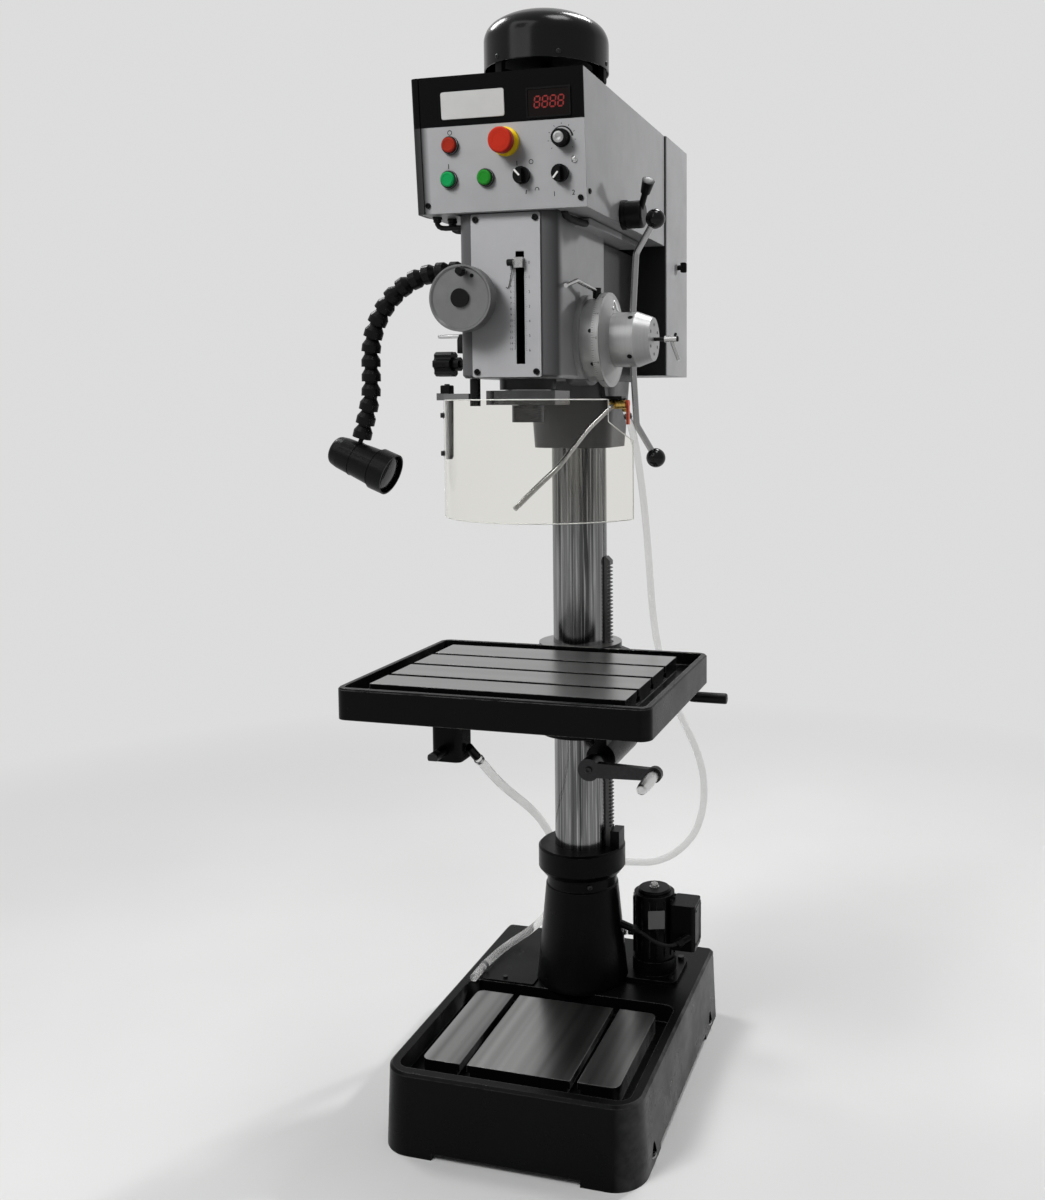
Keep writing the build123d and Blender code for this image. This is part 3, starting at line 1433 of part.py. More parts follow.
def feed_levers():
    x = lever_root_x()
    points = [(x, feed_y, feed_z + lever_root_r), (x, feed_y, feed_z + hub_barrel_r + lever_rod_r),
              (x + lever_lean, feed_y, feed_z + lever_bend_r),
              (x + lever_lean + lever_kick, feed_y, feed_z + lever_reach)]
    upper = rod(points, lever_rod_r, [lever_root_fillet, lever_bend_fillet])
    upper -= ball_at_top()
    return upper + turn_feed(180) * upper


def turn_feed(angle):
    return Pos(0, feed_y, feed_z) * Rot(angle, 0, 0) * Pos(0, -feed_y, -feed_z)


def ball_at_top():
    return Pos(lever_root_x() + lever_lean + lever_kick, feed_y, feed_z + lever_reach) * Sphere(ball_r)


def feed_knobs():
    return ball_at_top() + turn_feed(180) * ball_at_top()


def dial_clamp():
    x0 = hub_end_x() + body_gap
    pin = along_x(hub_end_x() - end_rod_l, x0 + end_rod_l, feed_y, feed_z, end_rod_r)
    barrel = along_x(x0 + end_rod_l, x0 + end_rod_l + end_barrel_l, feed_y, feed_z, end_barrel_r)
    arm_x = x0 + end_rod_l + end_barrel_l / 2
    arm = rod([(arm_x, feed_y, feed_z), (arm_x + end_arm_out, feed_y, feed_z - end_arm_drop)], end_rod_r,
              [])
    return pin + barrel + arm


def feed_lock_lever():
    post_z = feed_z + sqrt(feed_drum_r ** 2 - (lock_pivot_y - feed_y) ** 2)
    pin = along_z(lock_pivot_x, lock_pivot_y, post_z - lock_post_h / 2, post_z + lock_post_h,
                  lock_post_r / 2)
    cap = along_z(lock_pivot_x, lock_pivot_y, post_z + wide_gap, post_z + lock_post_h, lock_post_r)
    rod_z = post_z + lock_post_h / 2 + lock_rod_r
    arm = rod([(lock_pivot_x, lock_pivot_y, rod_z), lock_mid, lock_tip], lock_rod_r, [lock_bend_r])
    return pin + cap + arm


# Left side of the head
def fine_feed_wheel():
    outline = [(0, 0), (wheel_r - wheel_rim_w, 0), (wheel_r, wheel_rim_w / 2), (wheel_r, wheel_t),
               (wheel_r - wheel_rim_w, wheel_t),
               (wheel_r - 2 * wheel_rim_w, wheel_t - wheel_dish), (wheel_boss_r, wheel_t - wheel_dish),
               (0, wheel_t - wheel_dish)]
    disc = turned(outline, facing_front(wheel_x, wheel_face_y + wheel_t, wheel_z))
    shaft = along_y(wheel_x, wheel_face_y + wheel_t, wheel_shaft_back_y, wheel_z, wheel_shaft_r)
    worm = along_y(wheel_x, wheel_shaft_back_y - worm_l, wheel_shaft_back_y, wheel_z, worm_r)
    hole = along_y(grip_x, wheel_face_y, wheel_face_y + grip_l / 2, wheel_z + grip_rise,
                   grip_stem_r + seat_clear)
    return disc + shaft + worm - hole


def fine_feed_knob():
    face_y = wheel_face_y + wheel_dish
    boss = along_y(wheel_x, face_y - wheel_boss_h, face_y, wheel_z, wheel_boss_r)
    z = wheel_z + grip_rise
    stem = along_y(grip_x, face_y, face_y + grip_stem_l, z, grip_stem_r)
    outline = [(0, 0), (grip_foot_r, 0), (grip_r, grip_swell), (grip_end_r, grip_l), (0, grip_l)]
    grip = turned(outline, facing_front(grip_x, face_y, z))
    return boss + (grip + stem)


def quill_lock_knob():
    y = spindle_y
    screw = along_x(star_mid_x, -quill_r - body_gap, y, quill_lock_z, quill_lock_r)
    x0 = star_mid_x - star_l / 2
    body = along_x(x0, x0 + star_l, y, quill_lock_z, star_r)
    for turn in range(star_lobes):
        a = radians((turn + 0.5) * 360 / star_lobes)
        reach = star_r + star_lobe_out
        body -= along_x(x0, x0 + star_l, y + reach * cos(a), quill_lock_z + reach * sin(a), star_lobe_r)
    neck = along_x(x0 + star_l, x0 + star_l + star_neck_r, y, quill_lock_z, star_neck_r)
    return screw + body + neck


def gear_lever():
    x0 = box_half_w + body_gap
    shaft = along_x(gear_shaft_x0, x0, gear_lever_y, gear_lever_z, gear_shaft_r)
    hub = along_x(x0, x0 + gear_hub_l, gear_lever_y, gear_lever_z, gear_hub_r)
    hub = fillet(hub.faces().sort_by(Axis.X)[-1].edges(), gear_hub_round)
    collar = along_x(x0, x0 + gear_collar_l, gear_lever_y, gear_lever_z, gear_collar_r)
    out = radians(gear_arm_out_deg)
    front = radians(gear_arm_front_deg)
    way = Vector(sin(out), -cos(out) * sin(front), cos(out) * cos(front))
    root = Vector(x0 + gear_hub_l - gear_arm_inset - gear_arm_r, gear_lever_y, gear_lever_z)
    arm = rod([root, root + way * gear_arm_l], gear_arm_r, [])
    outline = [(0, 0), (gear_knob_neck_r, 0), (gear_knob_r, gear_knob_l), (0, gear_knob_l)]
    place = Location(Plane(origin=root + way * (gear_arm_l - gear_knob_l), z_dir=way))
    return shaft + hub + collar + arm + turned(outline, place)


# Guard
def shield_sector(r, t, arc_deg):
    """A curved strip of the shield's sheet, t thick inward from radius r, from its left edge."""
    half = asin(shield_chord / 2 / shield_r)
    a0 = -pi / 2 - half
    a1 = a0 + radians(arc_deg)

    def at(radius, a):
        return (shield_mid_x + radius * cos(a), shield_mid_y + radius * sin(a))

    mid = (a0 + a1) / 2
    lines = [ThreePointArc(at(r, a0), at(r, mid), at(r, a1)), Line(at(r, a1), at(r - t, a1)),
             ThreePointArc(at(r - t, a1), at(r - t, mid), at(r - t, a0)), Line(at(r - t, a0), at(r, a0))]
    return make_face(lines)


def guard_shield():
    whole_deg = 2 * degrees(asin(shield_chord / 2 / shield_r))
    sheet = Pos(0, 0, shield_z0) * extrude(shield_sector(shield_r, shield_t, whole_deg),
                                           shield_z1 - shield_z0)
    return sheet - lever_sweep()


def lever_sweep():
    """The room that the turning feed levers take beside the shield, out to their balls."""
    x0 = lever_root_x() - lever_rod_r - lever_room
    return along_x(x0, x0 + shield_chord, feed_y, feed_z, lever_reach - ball_r)


def shield_edge():
    """Location of the shield's left edge, with X inward along the radius and Y along the sheet."""
    half = asin(shield_chord / 2 / shield_r)
    a = -pi / 2 - half
    x = shield_mid_x + (shield_r - shield_t) * cos(a)
    y = shield_mid_y + (shield_r - shield_t) * sin(a)
    return Pos(x, y, 0) * Rot(0, 0, degrees(a) + 180)


def guard_arm():
    stud_top = head_bottom_z + guard_stud_depth
    stud = along_z(guard_pivot_x, guard_pivot_y, guard_arm_z, stud_top, guard_stud_r)
    washer_top = head_bottom_z - body_gap
    stud += along_z(guard_pivot_x, guard_pivot_y, guard_arm_z - guard_stud_r, washer_top, guard_washer_r)
    edge = shield_edge()
    strip_deg = degrees(strip_w / shield_r)
    inner = shield_sector(shield_r - shield_t, strip_t, strip_deg)
    strip = Pos(0, 0, strip_z0) * extrude(inner, shield_z1 - strip_z0)
    grip = edge * block(-shield_t - guard_block_w / 2, strip_t + wide_gap, -guard_block_w, 0,
                        shield_z1, shield_z1 + guard_block_h / 2)
    near = edge * Pos(0, -guard_block_w / 2, 0)
    start = Vector(guard_pivot_x, guard_pivot_y, 0)
    end = Vector(near.position.X, near.position.Y, 0)
    run = end - start
    bar_place = Pos(start.X, start.Y, 0) * Rot(0, 0, degrees(atan2(run.Y, run.X)))
    bar = bar_place * block(0, run.length, -guard_arm_w / 2, guard_arm_w / 2, shield_z1 + wide_gap,
                            shield_z1 + guard_arm_h)
    return stud + strip + grip + bar


# Lamp
def lamp_path():
    """Centre line of the lamp's arm: out of the head, a round bend down, and a slight lean."""
    x0 = -head_half_w - lamp_base_l
    x1 = x0 - lamp_start_l
    x2 = x1 - lamp_bend_r
    z2 = lamp_z - lamp_bend_r
    z3 = z2 - lamp_drop_l
    lean = radians(lamp_lean_deg)
    turn = lamp_lean_r * tan(lean / 2)
    corner = (x2, lamp_y, z3 - turn)
    far = turn + lamp_last_l
    end = (x2 - far * sin(lean), lamp_y, z3 - turn - far * cos(lean))
    return FilletPolyline((x0, lamp_y, lamp_z), (x2, lamp_y, lamp_z), corner, end,
                          radius=[lamp_bend_r, lamp_lean_r])


def lamp_arm():
    path = lamp_path()
    base = turned([(0, 0), (lamp_base_r, 0), (lamp_base_r, lamp_base_l / 2), (link_r, lamp_base_l),
                   (0, lamp_base_l)],
                  Pos(-head_half_w, lamp_y, lamp_z) * Rot(0, -90, 0))
    pitch = path.length / lamp_links
    cup_r = link_plug_r + link_plug_gap
    cup_floor = pitch - link_nest - link_tilt_room
    bell = [(link_plug_r, link_flare), (link_r, pitch / 2), (link_r, pitch - link_gap),
            (cup_r, pitch - link_gap),
            (cup_r, cup_floor), (0, cup_floor)]
    outline = [(0, -link_nest), (link_plug_r, -link_nest)] + bell
    first = [(0, 0), (link_plug_r, 0)] + bell
    links = [base]
    for number in range(lamp_links):
        at = number / lamp_links
        place = Location(Plane(origin=path @ at, x_dir=(0, 1, 0),
                               z_dir=path @ ((number + 1) / lamp_links) - path @ at))
        links.append(turned(first if number == 0 else outline, place))
    return Compound(children=links)


def lamp_joint():
    return lamp_path() @ 1


def lamp_head():
    end = lamp_joint()
    tilt = radians(lamp_tilt_deg)
    axis_x = cos(tilt)
    axis_z = -sin(tilt)
    rear_x = end.X - lamp_neck_along * axis_x + lamp_neck_up * axis_z
    rear_z = end.Z - lamp_neck_along * axis_z - lamp_neck_up * axis_x
    place = Location(Plane(origin=(rear_x, lamp_y, rear_z), x_dir=(0, 1, 0), z_dir=(axis_x, 0, axis_z)))
    rim_z = lamp_l - lamp_rim_l
    body = turned([(0, 0), (lamp_rear_r, 0), (lamp_body_r - lamp_rim_step, lamp_dome_l),
                   (lamp_mouth_r - 2 * lamp_rim_step, rim_z), (0, rim_z)], Pos(0, 0, 0))
    body = fillet(body.faces().sort_by(Axis.Z)[0].edges(), lamp_rear_round)
    inner_r = lamp_mouth_r - lamp_wall
    cup_z = lamp_l - lamp_cup_depth
    body += turned([(0, rim_z), (lamp_mouth_r, rim_z), (lamp_mouth_r, lamp_l), (inner_r, lamp_l),
                    (inner_r, cup_z),
                    (0, cup_z)], Pos(0, 0, 0))
    shell = place * body
    down = Vector(axis_z, 0, -axis_x)
    foot = end + down * (lamp_neck_up - lamp_body_r + lamp_wall)
    neck = Pos(end) * Sphere(lamp_ball_r)
    neck += rod([end, foot], lamp_pin_r, [])
    return shell + neck


# Coolant valve, nozzle, hoses and pump
def coolant_valve():
    bracket = prism_x([(valve_y - bracket_w / 2, valve_z + valve_r),
                       (valve_y + bracket_w / 2, valve_z + valve_r),
                       (valve_y + bracket_w / 2, head_bottom_z), (valve_y - bracket_w, head_bottom_z)],
                      head_rear_half_w - bracket_t, head_rear_half_w)
    shelf = block(head_rear_half_w - bracket_t, valve_x + valve_r, valve_y - bracket_w / 2,
                  valve_y + bracket_w / 2,
                  valve_z + valve_r - bracket_t / 2, valve_z + valve_r + bracket_t / 2)
    body = along_x(valve_x - valve_l / 2, valve_x + valve_l / 2, valve_y, valve_z, valve_r)
    inlet = socket(supply_points[::-1], valve_socket_l, supply_hose_r)
    outlet = socket(nozzle_points, valve_socket_l, nozzle_socket_r)
    valve = bracket + shelf + body + inlet + outlet
    stem_x = valve_x + valve_l / 2
    stem_hole = along_x(stem_x - valve_stem_l, stem_x, valve_y, valve_z, valve_stem_r + run_clear)
    return valve - column_boss() - stem_hole


def valve_lever():
    x0 = valve_x + valve_l / 2 + body_gap
    stem = along_x(x0 - valve_stem_l, x0, valve_y, valve_z, valve_stem_r)
    eye = along_x(x0, x0 + valve_lever_t, valve_y, valve_z, valve_eye_r)
    blade = block(x0, x0 + valve_lever_t, valve_y - valve_lever_w / 2, valve_y + valve_lever_w / 2,
                  valve_z - valve_lever_l, valve_z)
    return stem + eye + blade


def route_radii(points):
    """The largest tangent arc that each corner's two runs allow."""
    corners = [Vector(*p) for p in points]
    radii = []
    for a, b, c in zip(corners, corners[1:], corners[2:]):
        turn = radians((b - a).get_angle(c - b))
        radii.append(bend_share * min((b - a).length, (c - b).length) / tan(turn / 2))
    return radii


def hose(name, points, r):
    radii = route_radii(points)
    path = FilletPolyline(*points, radius=radii)
    tube = sweep(Plane(origin=path @ 0, z_dir=path % 0) * Circle(r), path)
    share = tube.volume / (pi * r * r * path.length)
    print(name, "length", round(path.length), "mm, radii", [round(value) for value in radii],
          "volume share", round(share, 4))
    return tube


def socket(points, length, r):
    """A short round barrel that the first of the points leaves square to its end."""
    end = Vector(*points[0])
    back = (end - Vector(*points[1])).normalized()
    return rod([end + back * length, end], r, [])


def nozzle_pipe():
    pipe = rod(nozzle_points, nozzle_r, [min(value, nozzle_bend_r) for value in route_radii(nozzle_points)])
    tip = Vector(*nozzle_points[-1])
    out = (tip - Vector(*nozzle_points[-2])).normalized()
    return pipe + rod([tip - out * nozzle_tip_l, tip], nozzle_tip_r, [])


def pump_housing():
    plate = rounded_block(pump_plate_w, pump_plate_w, pump_base_h / 2, pump_y, base_h,
                          base_h + pump_plate_t, pump_x)
    body = plate + along_z(pump_x, pump_y, base_h, base_h + pump_plate_t + pump_base_h, pump_base_r)
    body += along_z(pump_x, pump_y, base_h - pump_inlet_l, base_h, pump_inlet_r)
    return body - along_z(0, column_y, base_h, base_h + foot_h, foot_bottom_r + wide_gap)


def pump_motor():
    low = base_h + pump_plate_t + pump_base_h
    body = along_z(pump_x, pump_y, low, pump_motor_top_z, pump_motor_r)
    cap = along_z(pump_x, pump_y, pump_motor_top_z, pump_motor_top_z + pump_cap_h, pump_cap_r)
    body += chamfer(cap.faces().sort_by(Axis.Z)[-1].edges(), pump_fin_rise)
    for turn in range(pump_fins):
        fin = block(pump_motor_r - pump_fin_rise, pump_motor_r + pump_fin_rise, -pump_fin_w / 2,
                    pump_fin_w / 2,
                    low + pump_cap_h, pump_motor_top_z - pump_cap_h)
        body += Pos(pump_x, pump_y, 0) * Rot(0, 0, turn * 360 / pump_fins) * fin
    box_x = pump_x + pump_motor_r + terminal_w / 2 - pump_fin_rise
    body += rounded_block(terminal_w, terminal_d, terminal_r, pump_y, terminal_z0, terminal_z1, box_x)
    return body + socket(cable_points[::-1], gland_barrel_l, gland_barrel_r)


def pump_outlet():
    end_x, y, z = supply_points[0]
    low = base_h + pump_plate_t
    riser = along_z(outlet_x, y, low, z + outlet_r, outlet_r)
    riser += along_z(outlet_x, y, low, low + outlet_r, outlet_foot_r)
    nut = along_x(outlet_x - outlet_nut_l, outlet_x, y, z, outlet_r)
    return riser + nut + along_x(end_x, outlet_x, y, z, barb_r)


def frame_bolts():
    bolt = Cylinder(bolt_head_r, bolt_head_h)
    inset = pump_plate_w / 2 - 2 * bolt_head_r
    bolts = []
    for sx, sy in ((1, -1), (1, 1)):
        bolts.append(Pos(pump_x + sx * inset, pump_y + sy * inset,
                         base_h + pump_plate_t + bolt_head_h / 2) * bolt)
    cover_mid_x = (cover_x0 - tank_inner_x) / 2
    for y in (cover_y0 + cover_lap, cover_y1 - cover_lap / 2):
        bolts.append(Pos(cover_mid_x, y, base_h + cover_t + cover_screw_h / 2) * Cylinder(cover_screw_r,
                                                                                          cover_screw_h))
    for z in set_screw_z:
        grow = (z - boss_bottom_z) * tan(radians(boss_draft_deg))
        x = -boss_w / 2 - grow - bolt_head_r * tan(radians(boss_draft_deg))
        bolts.append(along_x(x - bolt_head_h, x, column_y, z, bolt_head_r))
    return Compound(children=bolts)


nodes = {
    "base_casting": base_casting(),
    "reservoir_cover": reservoir_cover(),
    "column_foot": column_foot(),
    "frame_bolts": frame_bolts(),
    "column": column(),
    "pump_housing": pump_housing(),
    "pump_motor": pump_motor(),
    "pump_outlet": pump_outlet(),
    "pump_cable": hose("pump_cable", cable_points, cable_r),
    "supply_hose": hose("supply_hose", supply_points, supply_hose_r),
    "drain_hose": hose("drain_hose", drain_points, drain_hose_r),
    "head_casting": head_casting(),
    "front_plate": front_plate(),
    "control_box": control_box(),
    "control_panel": control_panel(),
    "estop_collar": estop_collar(),
    "rear_cabinet": rear_cabinet(),
    "motor_body": motor_body(),
    "motor_cowl": motor_cowl(),
    "feed_housing": feed_housing(),
    "coolant_valve": coolant_valve(),
    "nozzle_pipe": nozzle_pipe(),
    "lamp_arm": lamp_arm(),
    "rack": rack(),
    "rack_ring": rack_ring(),
    "table_casting": table_casting(),
    "elevation_shaft": elevation_shaft(),
    "crank_handle": crank_handle(),
    "table_clamp_lever": table_clamp_lever(),
    "drain_cock": drain_cock(),
    "quill": quill(),
    "spindle_bearings": spindle_bearings(),
    "depth_pointer": depth_pointer(),
    "spindle": spindle(),
    "spindle_gear": spindle_gear(),
    "gear_cluster": gear_cluster(),
    "motor_rotor": motor_rotor(),
    "feed_shaft": feed_shaft(),
    "feed_hub": feed_hub(),
    "feed_levers": feed_levers(),
    "feed_knobs": feed_knobs(),
    "depth_dial": depth_dial(),
    "dial_clamp": dial_clamp(),
    "feed_lock_lever": feed_lock_lever(),
    "fine_feed_wheel": fine_feed_wheel(),
    "fine_feed_knob": fine_feed_knob(),
    "quill_lock_knob": quill_lock_knob(),
    "gear_lever": gear_lever(),
    "stop_button": push_button(stop_x, button_high_z),
    "start_button": push_button(start_x, button_low_z),
    "reverse_button": push_button(reverse_x, button_low_z),
    "estop_button": estop_button(),
    "speed_knob": speed_knob(),
    "selector_left": panel_place(selector_left_x, button_low_z) * selector(),
    "selector_right": panel_place(selector_right_x, button_low_z) * selector(),
    "cabinet_knob": cabinet_knob(),
    "guard_arm": guard_arm(),
    "guard_shield": guard_shield(),
    "lamp_head": lamp_head(),
    "valve_lever": valve_lever(),
}

for name, solid in nodes.items():
    export_step(solid, "parts/" + name + ".step")
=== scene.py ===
"""Looks of a geared-head floor drill press, in metres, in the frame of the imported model."""
from math import cos, pi, radians, sin, sqrt, tan

import bmesh
import bpy
from mathutils import Matrix, Vector


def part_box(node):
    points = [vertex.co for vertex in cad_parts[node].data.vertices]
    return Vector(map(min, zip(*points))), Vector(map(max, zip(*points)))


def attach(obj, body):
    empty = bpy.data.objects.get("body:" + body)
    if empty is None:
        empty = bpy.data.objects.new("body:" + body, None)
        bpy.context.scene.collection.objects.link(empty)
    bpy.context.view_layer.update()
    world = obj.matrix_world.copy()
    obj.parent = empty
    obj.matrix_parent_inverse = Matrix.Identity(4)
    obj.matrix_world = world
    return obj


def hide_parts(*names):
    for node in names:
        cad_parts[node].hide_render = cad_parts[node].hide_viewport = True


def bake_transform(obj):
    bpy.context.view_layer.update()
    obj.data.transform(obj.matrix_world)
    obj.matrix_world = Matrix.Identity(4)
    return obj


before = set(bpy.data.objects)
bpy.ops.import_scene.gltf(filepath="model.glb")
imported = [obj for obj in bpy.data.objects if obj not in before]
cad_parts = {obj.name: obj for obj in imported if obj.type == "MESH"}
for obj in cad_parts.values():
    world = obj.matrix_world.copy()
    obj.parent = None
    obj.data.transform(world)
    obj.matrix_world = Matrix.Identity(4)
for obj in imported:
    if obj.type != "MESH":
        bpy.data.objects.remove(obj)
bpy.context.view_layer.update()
MM = 0.001
to_metres = Matrix.Scale(MM, 4)
X, Y, Z = range(3)
scene = bpy.context.scene

# Camera, solved from the straight edges of the photograph
photo_width, photo_height = 1045, 1200
photo_focal = 1194.67
photo_centre = (636.73, 501.63)
camera_place = (0.79121, -2.27273, 1.39371)
camera_forward = (-0.2675, 0.9602, -0.0809)
camera_roll = radians(-0.2)
camera_sensor, camera_clip = 36, 60


def show(name, data):
    made = bpy.data.objects.new(name, data)
    scene.collection.objects.link(made)
    return made


def aimed(place, way):
    """Matrix of a camera or a light at a place, looking along way."""
    return Matrix.Translation(place) @ Vector(way).to_track_quat("-Z", "Y").to_matrix().to_4x4()


data = bpy.data.cameras.new("camera")
data.sensor_fit = "VERTICAL"
data.sensor_height = camera_sensor
data.lens = photo_focal / photo_height * camera_sensor
data.shift_x = (photo_width / 2 - photo_centre[0]) / photo_height
data.shift_y = (photo_centre[1] - photo_height / 2) / photo_height
data.clip_end = camera_clip
camera = scene.camera = show("camera", data)
camera.matrix_world = aimed(camera_place, camera_forward) @ Matrix.Rotation(camera_roll, 4, "Z")


# Node trees
class Nodes:
    """A node tree, with short calls for the nodes that the finishes share."""

    def __init__(self, tree):
        self.tree = tree

    def feed(self, socket, value):
        if isinstance(value, bpy.types.NodeSocket):
            self.tree.links.new(value, socket)
        else:
            socket.default_value = value

    def make(self, kind, *values, out=0, **settings):
        """Output of a new node whose inputs are fed in their order; None leaves one as it is."""
        node = self.tree.nodes.new("ShaderNode" + kind)
        for key, value in settings.items():
            setattr(node, key, value)
        for socket, value in zip(node.inputs, values):
            if value is not None:
                self.feed(socket, value)
        return node.outputs[out]

    def maths(self, operation, *values):
        return self.make("Math", *values, operation=operation)

    def times(self, first, second):
        return self.maths("MULTIPLY", first, second)

    def less(self, first, second):
        return self.maths("LESS_THAN", first, second)

    def more(self, first, second):
        return self.maths("GREATER_THAN", first, second)

    def rays_that_show(self):
        """One for rays from the camera, or by mirror or through glass."""
        rays = self.make("LightPath").node.outputs
        most = self.maths("MAXIMUM", rays["Is Camera Ray"], rays["Is Glossy Ray"])
        return self.maths("MAXIMUM", most, rays["Is Transmission Ray"])

    def end(self, node, share, first, second):
        """Two shaders, mixed, to the tree's output node."""
        self.feed(self.tree.nodes[node].inputs["Surface"], self.make("MixShader", share, first, second))


class Shader(Nodes):
    """A material, kept in finish by its name and worn by the given nodes of the frame."""

    def __init__(self, name, nodes=""):
        material = finish[name] = bpy.data.materials.new(name)
        material.use_nodes = True
        super().__init__(material.node_tree)
        self.surface = self.tree.nodes["Principled BSDF"]
        self.place = self.make("TexCoord", out="Object")
        self.soft = None
        for node in nodes.split():
            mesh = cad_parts[node].data
            mesh.materials.clear()
            mesh.materials.append(material)

    def set(self, **values):
        for key, value in values.items():
            self.feed(self.surface.inputs[key.replace("_", " ").title().replace("Ior", "IOR")], value)

    def stretch(self, scale, centre=(0, 0, 0)):
        """The place, from centre, times scale."""
        moved = self.make("VectorMath", self.place, centre, operation="SUBTRACT")
        return self.make("VectorMath", moved, scale, operation="MULTIPLY")

    def reach(self, centre, axis):
        """Distance from an axis through centre."""
        across = [1, 1, 1]
        across[axis] = 0
        return self.make("VectorMath", self.stretch(across, centre), operation="LENGTH", out="Value")

    def noise(self, scale, detail=3, roughness=0.5, place=None):
        return self.make("TexNoise", place or self.place, None, scale, detail, roughness)

    def span(self, value, start=0, end=1, low=0.3, high=0.7):
        """From start to end as a value, most often a noise, goes from low to high."""
        return self.make("MapRange", value, low, high, start, end)

    def blend(self, share, first, second):
        return self.make("Mix", share, *[None] * 5, first, second, data_type="RGBA", out=2)

    def vary(self, share, colour, low, high):
        """A colour from low times to high times itself."""
        return self.blend(share, shade(colour, low), shade(colour, high))

    def bump(self, height, depth):
        return self.make("Bump", 1, depth * MM, None, height, self.soft)

    def axes(self, place=None):
        return self.make("SeparateXYZ", place or self.place).node.outputs

    def normal(self, axis):
        return self.axes(self.make("NewGeometry", out="Normal"))[axis]

    def edges(self, radius):
        """Share of edge at each point; the bump is then laid over the rounded edges."""
        self.soft = self.make("Bevel", radius, samples=4)
        flat = self.make("NewGeometry", out="Normal")
        turn = self.make("VectorMath", self.soft, flat, operation="DOT_PRODUCT", out="Value")
        return self.span(turn, low=0.98, high=0.8)

    def level_with(self, height, gap=0.6 * MM):
        """Flat tops at a height."""
        near = self.maths("COMPARE", self.axes()[Z], height, gap)
        return self.times(near, self.more(self.normal(Z), 0.9))


def shade(colour, factor):
    return tuple(min(1, part * factor) for part in colour[:3]) + (1,)


# Colours, axes and heights that the finishes share
near_black = (0.0022, 0.0022, 0.0024)
plastic_black, print_black = (0.004, 0.004, 0.0043), (0.003, 0.003, 0.0033)
light_grey, plate_grey = (0.365, 0.365, 0.372), (0.4, 0.4, 0.41)
# Greys of painted shade on the head casting.
painted_shade_grey, painted_rear_shade = (0.08, 0.08, 0.083), (0.07, 0.07, 0.071)
worn_iron, worn_grey, worn_plate = (0.3, 0.3, 0.29, 1), (0.5, 0.5, 0.5, 1), (0.6, 0.6, 0.6, 1)
# The first of these is painted shade for the control panel's rounded left edge.
painted_edge_shade, lit_red = (0.016, 0.016, 0.017, 1), (0.16, 0.006, 0.004)
# Dark and bright streaks painted on the column as reflections.
column_reflection_dark, column_reflection_bright = (0.055, 0.055, 0.056, 1), (0.4, 0.4, 0.402, 1)
black_level = 0.08
feed_axis = (0, -0.122, 1.514)
spindle_axis = (0, -0.1805, 0)
column_axis = (0, 0.1175, 0)
speed_knob_axis = (0.1145, -0.33, 1.8455)
guard_pivot, lock_post_axis = (-0.084, -0.232, 0), (0.12, -0.133, 0)
head_underside_z = 1.4416
table_top_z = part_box("table_casting")[1].z
table_rim_z, table_hub_radius = 0.893, 0.0885
base_pad_z = 0.1505
band_z = 1.877
finish = {}


# Kinds of finish
def paint(name, nodes, colour, rough, level, wear=0, bare=worn_iron, peel=0.05, darks=()):
    """Sprayed enamel with orange peel and rubbed edges; darks are masks with darker colours, for parts in
    other colours and for painted shade.
    """
    s = Shader(name, nodes)
    tone = s.vary(s.span(s.noise(7, 4, 0.6)), colour, 0.92, 1.07)
    speck = s.span(s.noise(520, 2), 0, 0.25, 0.7, 0.78)
    tone = s.blend(speck, tone, shade(colour, 0.75))
    for mask, dark_colour in darks:
        tone = s.blend(mask(s), tone, (*dark_colour, 1))
    if wear:
        rub = s.times(s.edges(0.0016), s.span(s.noise(55, 4), low=0.42, high=0.6))
        rub = s.times(rub, wear)
        tone = s.blend(rub, tone, bare)
        s.set(metallic=s.times(rub, 0.9))
    grain = s.maths("ADD", s.noise(620, 2), s.noise(95, 3))
    s.set(base_color=tone, roughness=s.span(s.noise(23, 5, 0.65), *rough), normal=s.bump(grain, peel),
          specular_ior_level=level)


def brushed(name, nodes, colour, rough, scale, streak=0.12, depth=0.004, metallic=1):
    """Metal worked in one direction: scale is the fineness of the lines along X, Y and Z."""
    s = Shader(name, nodes)
    place = s.stretch(scale)
    lines = s.noise(1, 3, 0.6, place)
    broad = s.noise(0.13, 3, 0.5, place)
    cloud = s.noise(11, 4, 0.6)
    tone = s.vary(s.span(lines), colour, 1 - streak, 1 + streak)
    tone = s.blend(s.span(broad, 0, 0.5, 0.35, 0.65), tone, shade(colour, 1 - 1.5 * streak))
    dull = s.maths("ADD", s.span(lines, *rough, 0.2, 0.8), s.span(cloud, -0.03, 0.05))
    s.set(base_color=tone, metallic=metallic, roughness=dull, normal=s.bump(lines, depth))


def turned(name, nodes, colour, rough, centre, axis, fine=900, metallic=1, dark=None):
    """Turned metal: rings about an axis through centre; dark is the mask and colour of a blued part."""
    s = Shader(name, nodes)
    rings = s.make("CombineXYZ", s.reach(centre, axis), s.axes()[axis])
    lines = s.noise(fine, 2, 0.6, rings)
    cloud = s.noise(16, 4, 0.6)
    tone = s.vary(s.span(lines), colour, 0.9, 1.1)
    tone = s.blend(s.span(cloud, 0, 0.35, 0.45, 0.75), tone, shade(colour, 0.78))
    if dark:
        mask, blued = dark
        tone = s.blend(mask(s), tone, s.vary(s.span(cloud), blued, 0.85, 1.15))
    dull = s.maths("ADD", s.span(lines, *rough, 0.2, 0.8), s.span(cloud, -0.03, 0.06))
    s.set(base_color=tone, metallic=metallic, roughness=dull, normal=s.bump(lines, 0.004))


